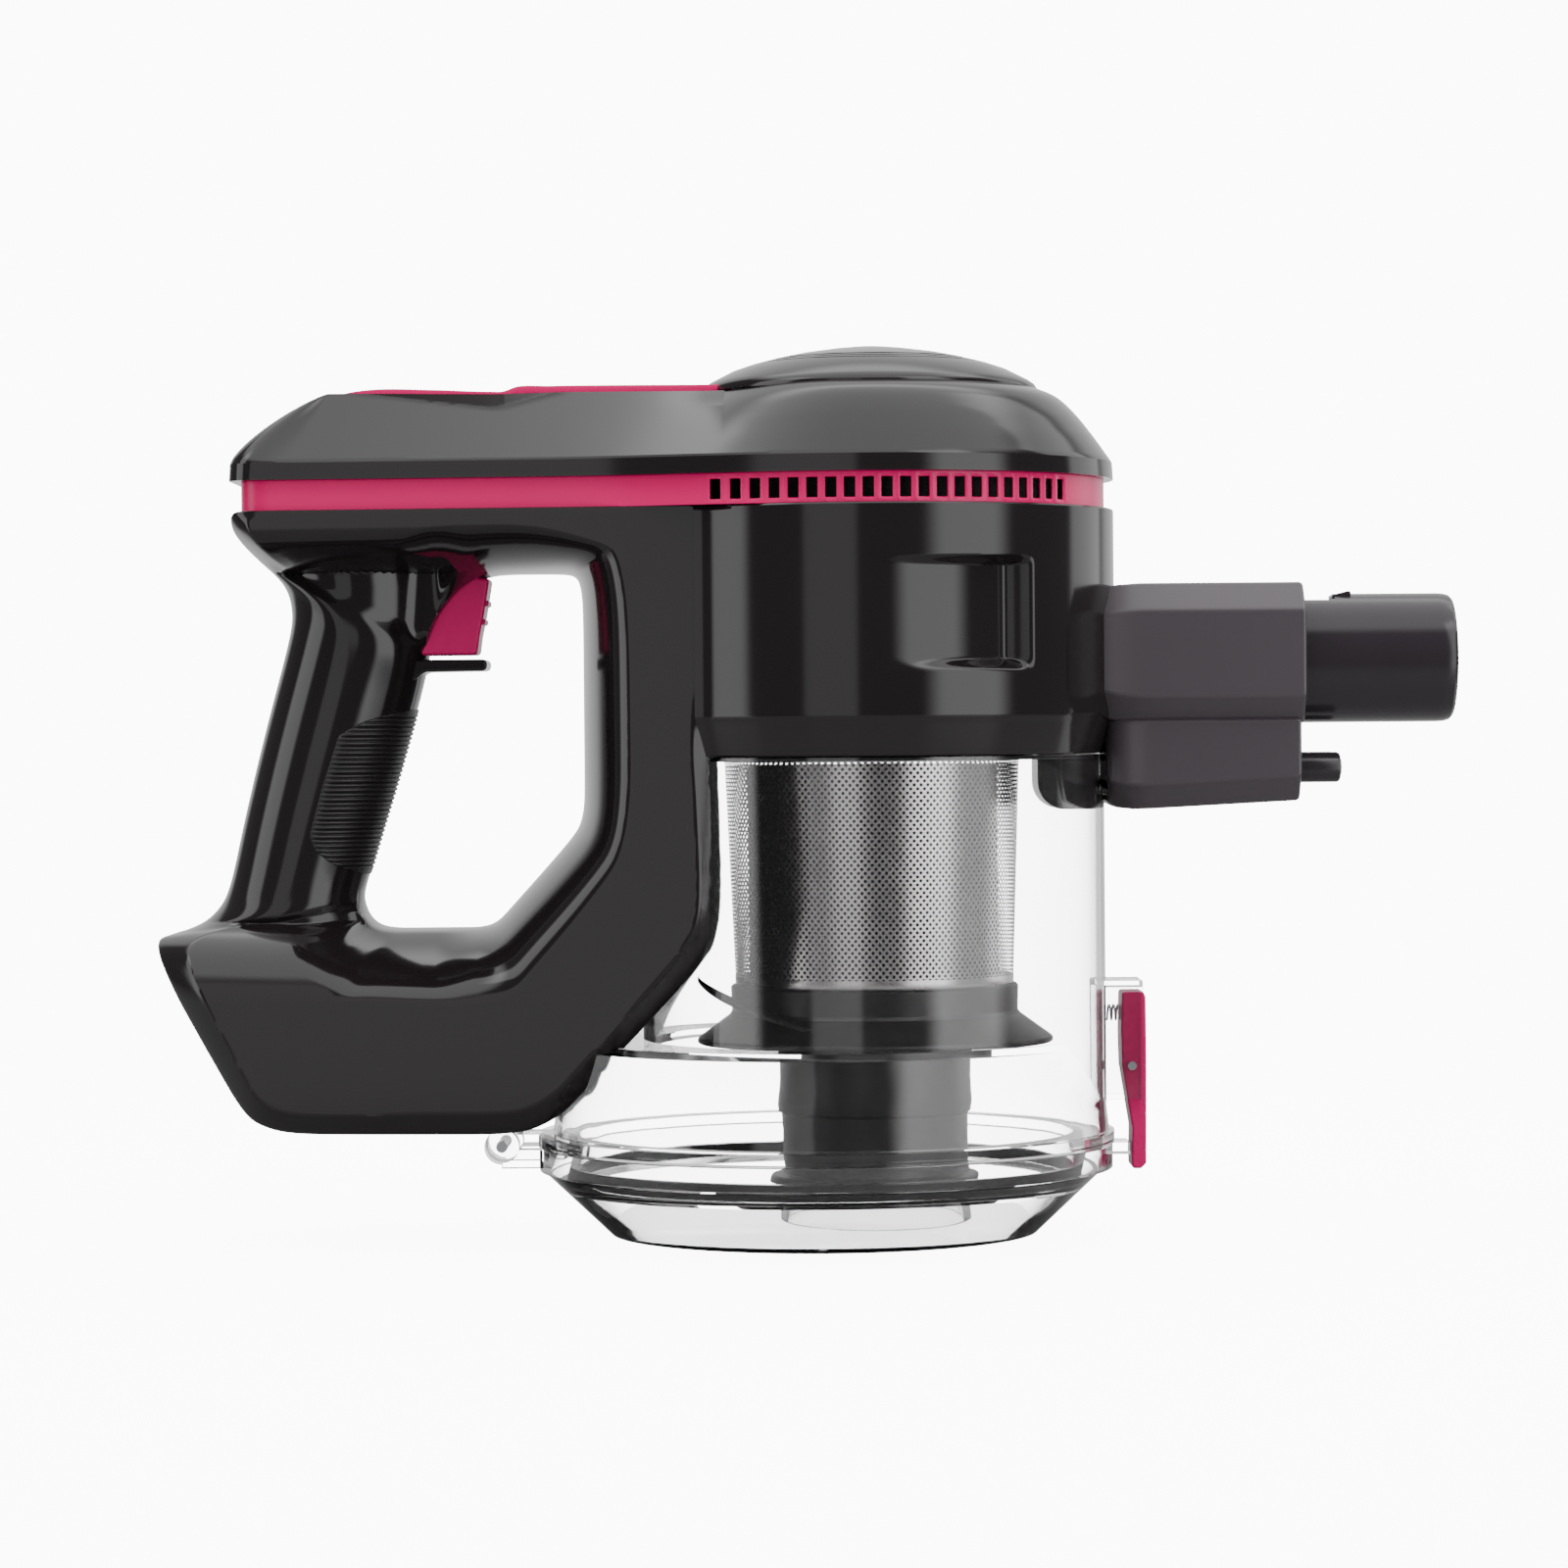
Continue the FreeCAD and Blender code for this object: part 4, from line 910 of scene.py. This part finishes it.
make_piece("inlet_head", [box_loft(head_box, 2.2)], "housing", "inlet_plastic", ("inlet_block",),
           angle=38.0, flat_faces=True)
make_piece("inlet_duct", [box_loft(duct_box, 2.0)], "housing", "inlet_plastic", angle=38.0, flat_faces=True)
snout = [(62.4, 129.5), (62.4, 114.6), (78.6, 114.6), (78.6, 118.4), (86, 118.4), (86, 129.5)]
snout = rounded(snout, [0.3, 7.5, 1.9, 0.2, 0.3, 0.3], 9)
snout_half = 13
make_piece("inlet_snout", [slab(snout, -snout_half, snout_half, 1.8)], "housing", "black_gloss",
           angle=38.0, flat_faces=True)

# %% [markdown]
# ## The plug posts
# Two short posts carry the current to a powered floor head. Each is a turned stub with a blind hole.

# %% Plug posts
post_y, post_z = 7.0, 125.4
post = [(0, 132.8), (4.1, 132.8), (4.1, 143.6), (3.8, 144.3), (3.2, 144.6), (2.1, 144.6), (2.0, 144.3),
        (2.0, 141), (0, 141)]
for k, side in enumerate((-1, 1)):
    post_grid = lathe(post, x=side * post_y, y=post_z, sides=48, closed=False, axis="x")
    make_piece("plug_post_%d" % (k + 1), [post_grid], "housing", "tube_black",
               ("plug_posts",) if side < 0 else (), angle=30.0)

# %% [markdown]
# ## The grip pad
# A soft pad covers the front of the grip, with fine ribs across it that keep fingers from slipping.
# The grip's own oval is followed 0.6 mm out, and a row of round-topped waves is added by height.

# %% Ribbed pad
def grip_surface(z, angle, grow=0.0):
    """Point on the grip: oval about its centre line; angle 0 faces the fingers, +/- 90 the sides."""
    loop = round_the_d()
    rows = loop[loop[:, 7] > 0.93]
    order = np.argsort(rows[:, 1])
    front = np.interp(z, rows[order, 1], rows[order, 0])
    order = np.argsort(rows[:, 3])
    rear = np.interp(z, rows[order, 3], rows[order, 2])
    wide = np.interp(z, [90, 106, 143, 163], [19.4, 19.0, 19.0, 18.7])
    centre, depth = 0.5 * (front + rear), 0.5 * (front - rear)
    return np.stack([centre + (depth + grow) * np.cos(angle), (wide + grow) * np.sin(angle), z], -1)


def pad_grid():
    """Heights every 0.1 mm with a wave of 1.25 mm pitch; the angle runs to the pad's side outline.

    Outwards it grows by a rim height, times the root of the distance to the edge, and a rib height,
    times the root of the wave, within a plain margin.
    """
    low, high = 98.2, 143.2
    z = np.linspace(low, high, 451)
    side = np.interp(z, [low, 98.8, 100, 102, 105, 109, 122, 136, 139.5, 141.5, 142.7, high],
                     [12, 30, 50, 66, 80, 88, 88, 86, 72, 52, 30, 12])
    side = np.radians(np.convolve(np.pad(side, 8, "edge"), np.ones(17) / 17, "valid"))
    u = np.linspace(-1, 1, 61)
    angle = side[:, None] * u[None]
    rib_pitch = 1.25
    wave = 0.5 - 0.5 * np.cos(2 * math.pi * (z - low) / rib_pitch)
    to_end = np.minimum(z - low, high - z)[:, None]
    to_side = (1 - np.abs(u))[None]
    field = clamp(to_side / 0.10) * clamp(to_end - 1.4)
    rim = clamp(to_side / 0.035) * clamp(to_end / 0.5)
    grow = -0.4 + 0.75 * np.sqrt(rim) + 0.55 * field * (np.sqrt(wave)[:, None] - 0.55)
    return grip_surface(np.broadcast_to(z[:, None], angle.shape), angle, grow)


def forwards(p):
    """Outward way for the pad: towards the fingers, whatever the point p."""
    return Vector((1.0, 0.0, 0.0))


make_piece("grip_ribs", [(pad_grid() * mm, False, False)], "housing", "grip_rubber", ("grip_pad",),
           angle=60.0, outward=forwards)

# %% [markdown]
# ## The trigger
# The finger lever is a bright moulding with a hollow front face and two small ridges that stop the
# finger from sliding. Its side outline is carried across with rolled edges, and the ridges are rods.

# %% Trigger
blade = [(-85.4, 178.4), (-86.0, 174.5), (-87.0, 168.5), (-88.2, 162.8), (-88.9, 157.6), (-105.6, 157.6),
         (-105.8, 172.0), (-103.0, 180.0), (-100.0, 185.0), (-96.0, 188.8), (-92.5, 187.3), (-91.0, 183.0),
         (-88.4, 178.6)]
blade = rounded(blade, [1.1, 6, 6, 6, 1.1, 1.1, 3, 3, 3, 2, 2, 2, 1.1], 4)
blade_half, ridge_half = 8.4, 7.2
make_piece("trigger_lever", [slab(blade, -blade_half, blade_half, 1.0)], "trigger", "pink_lever",
           ("trigger",), angle=32.0, flat_faces=True)
for k, (rx, rz) in enumerate(((-86.7, 171.6), (-87.6, 166.6))):
    ridge = rounded([(rx - 1, rz - 1), (rx + 0.9, rz - 0.8), (rx + 0.9, rz + 0.8), (rx - 1, rz + 1)], 0.7)
    ridge_grid = slab(ridge, -ridge_half, ridge_half, 0.5)
    make_piece("trigger_ridge_%d" % (k + 1), [ridge_grid], "trigger", "pink_lever")

# %% [markdown]
# ## The filter in the cup
# The steel cone is thin sheet with thousands of staggered round holes. Each hole sits in a six-sided
# cell; neighbouring cells share their corners, so the whole cone is one sheet. The skirt, the tube
# under it and the rims are turned.

# %% Perforated cone
cone_low, cone_top = 67.5, 127.2
low_r, mid_r, top_r = 37.8, 39.0, 40.0


def cone_radius(z):
    """Radius of the cone at a height: a straight line between its two ends."""
    return low_r + (top_r - low_r) * (z - cone_low) / (cone_top - cone_low)


def on_cone(around, z):
    """Point on the cone from the distance round it, measured at its middle radius, and the height."""
    r = cone_radius(z)
    return np.stack([motor_x + r * np.cos(around / mid_r), r * np.sin(around / mid_r), z], -1)


def perforated_sheet(columns=132, row_pitch=1.06, hole_r=0.47):
    """Six outer and six inner corners per cell, joined by six quads; odd rows shift half a cell."""
    pitch = 2 * math.pi * mid_r / columns
    rows = int((cone_top + 0.9 - cone_low - 1.9) / row_pitch)
    j, i = np.meshgrid(np.arange(rows), np.arange(columns), indexing="ij")
    cu = ((i + 0.5 * (j % 2)) * pitch).ravel()
    cz = (cone_low + 1.9 + (j + 0.5) * row_pitch).ravel()
    tall, low = row_pitch * 2 / 3, row_pitch / 3
    half = pitch / 2
    outer = np.array([(0, tall), (half, low), (half, -low), (0, -tall), (-half, -low), (-half, low)])
    turn = np.radians([90, 30, -30, -90, -150, 150])
    inner = hole_r * np.stack([np.cos(turn), np.sin(turn)], 1)
    corners = np.concatenate([outer, inner])
    u, z = cu[:, None] + corners[None, :, 0], cz[:, None] + corners[None, :, 1]
    verts = on_cone(u, z).reshape(-1, 3)
    k = np.arange(6)
    cell = np.stack([k, (k + 1) % 6, (k + 1) % 6 + 6, k + 6], 1)
    faces = (np.arange(len(cu))[:, None, None] * 12 + cell[None]).reshape(-1, 4)
    return verts * mm, faces


def from_axis(p):
    """Outward way for the cone: away from the motor axis."""
    return Vector((p.x - motor_x * mm, p.y, 0.0))


sheet_verts, sheet_faces = perforated_sheet()
cone_mesh = bpy.data.meshes.new("steel_cone")
cone_mesh.from_pydata(sheet_verts.tolist(), [], sheet_faces.tolist())
finish_mesh("steel_cone", cone_mesh, "cup", "filter_steel", ("mesh_filter",), angle=60.0, outward=from_axis)
for name, z0, z1 in (("cone_rim_top", 127.9, 128.6), ("cone_rim_low", 67.4, 70.0)):
    r0 = cone_radius(z0)
    rim = [(r0 - 0.7, z0), (r0 + 0.12, z0), (r0 + 0.2, z1), (r0 - 0.6, z1)]
    make_piece(name, [lathe(rim, radii=0.1, steps=3)], "cup", "filter_steel")

# %% [markdown]
# ## The plate, the skirt and the dust tube
# A plate closes the cup round the top of the cone. The skirt under the cone turns the air back up, and
# the tube inside it leads the fine dust to the door. All three are turned parts with thin walls, so
# each closed profile goes once round the axis.

# %% Frame, skirt and dust tube
plate = [(36.0, 128.4), (60.2, 128.4), (60.2, 129.2), (41.4, 129.2), (41.4, 133.0), (36.0, 133.0)]
make_piece("filter_plate", [lathe(plate, radii=0.4)], "cup", "dark_plastic", ("filter_frame",))
skirt = [(26.5, 67.4), (38.6, 67.5), (39.2, 66.9), (39.0, 60.4), (39.6, 59.4), (48.2, 53.2), (48.5, 52.6),
         (48.5, 51.9), (48.0, 51.6), (46.0, 51.6), (36.5, 58.6), (26.5, 58.6)]
skirt_grid = lathe(skirt, radii=0.35, steps=4)
make_piece("baffle_skirt", [skirt_grid], "cup", "dark_plastic", ("filter_skirt",), angle=30.0)
pipe = [(24.4, 67.3), (26.4, 67.3), (26.4, 50.0), (26.2, 36.0), (25.9, 33.0), (25.2, 32.6), (25.0, 18.0),
        (25.6, 16.4), (28.2, 15.9), (28.6, 15.4), (28.6, 13.8), (23.4, 13.8), (23.4, 33.0), (24.4, 50.0)]
make_piece("dust_pipe", [lathe(pipe, radii=0.3, steps=4)], "cup", "dark_plastic", ("dust_tube",), angle=30.0)

# %% [markdown]
# ## The swirl vane
# A thin fin winds a little way round the skirt and keeps the air turning. It is a small section moved
# along a stretch of a helix, and it thins out to nothing at both ends.

# %% Swirl vane
def vane_fin():
    """Thin helical edge on the skirt: radius and height change with the angle; 0.9 mm thick."""
    t = np.linspace(0, 1, 40)
    turn = np.radians(196 + 66 * t)
    vane_r = 49.6 - 9.5 * t
    vane_z = 69.5 - 16.0 * t ** 0.8
    section = np.array([(0.6, 0.5), (0.6, -0.5), (-3.4, -0.9), (-3.4, 0.9)])
    width = np.sin(math.pi * np.clip(t, 0.02, 1))[:, None]
    r, z = vane_r[:, None] + section[None, :, 0] * width, vane_z[:, None] + section[None, :, 1]
    points = np.stack([motor_x + r * np.cos(turn)[:, None], r * np.sin(turn)[:, None], z], -1)
    return points * mm, False, True


make_piece("swirl_vane", [vane_fin()], "cup", "dark_plastic", angle=50.0)

# %% [markdown]
# ## The latch
# A bright lever closes the bin door. Its top is pressed, its foot hooks under the door, and it turns
# on a pin half way up. The side outline is carried across between the clear ears with rolled edges.

# %% Latch lever
lever = [(85.0, 64.9), (90.9, 64.9), (91.5, 63.4), (91.6, 46), (91.4, 18.4), (90.0, 16.9), (87.5, 16.9),
         (87.4, 20.3), (87.6, 28.0), (86.0, 38.0), (84.9, 45.0), (84.7, 54.0)]
lever = rounded(lever, [0.8, 0.8, 1, 8, 1, 1, 0.8, 1, 2, 3, 3, 3], 4)
lever_half = 7.9
make_piece("latch_lever", [slab(lever, -lever_half, lever_half, 0.6)], "latch", "pink_lever", ("latch",),
           angle=32.0, flat_faces=True)

# %% [markdown]
# ## The end
# The last line prints that the scene is built.

# %% The end
print("scene built")
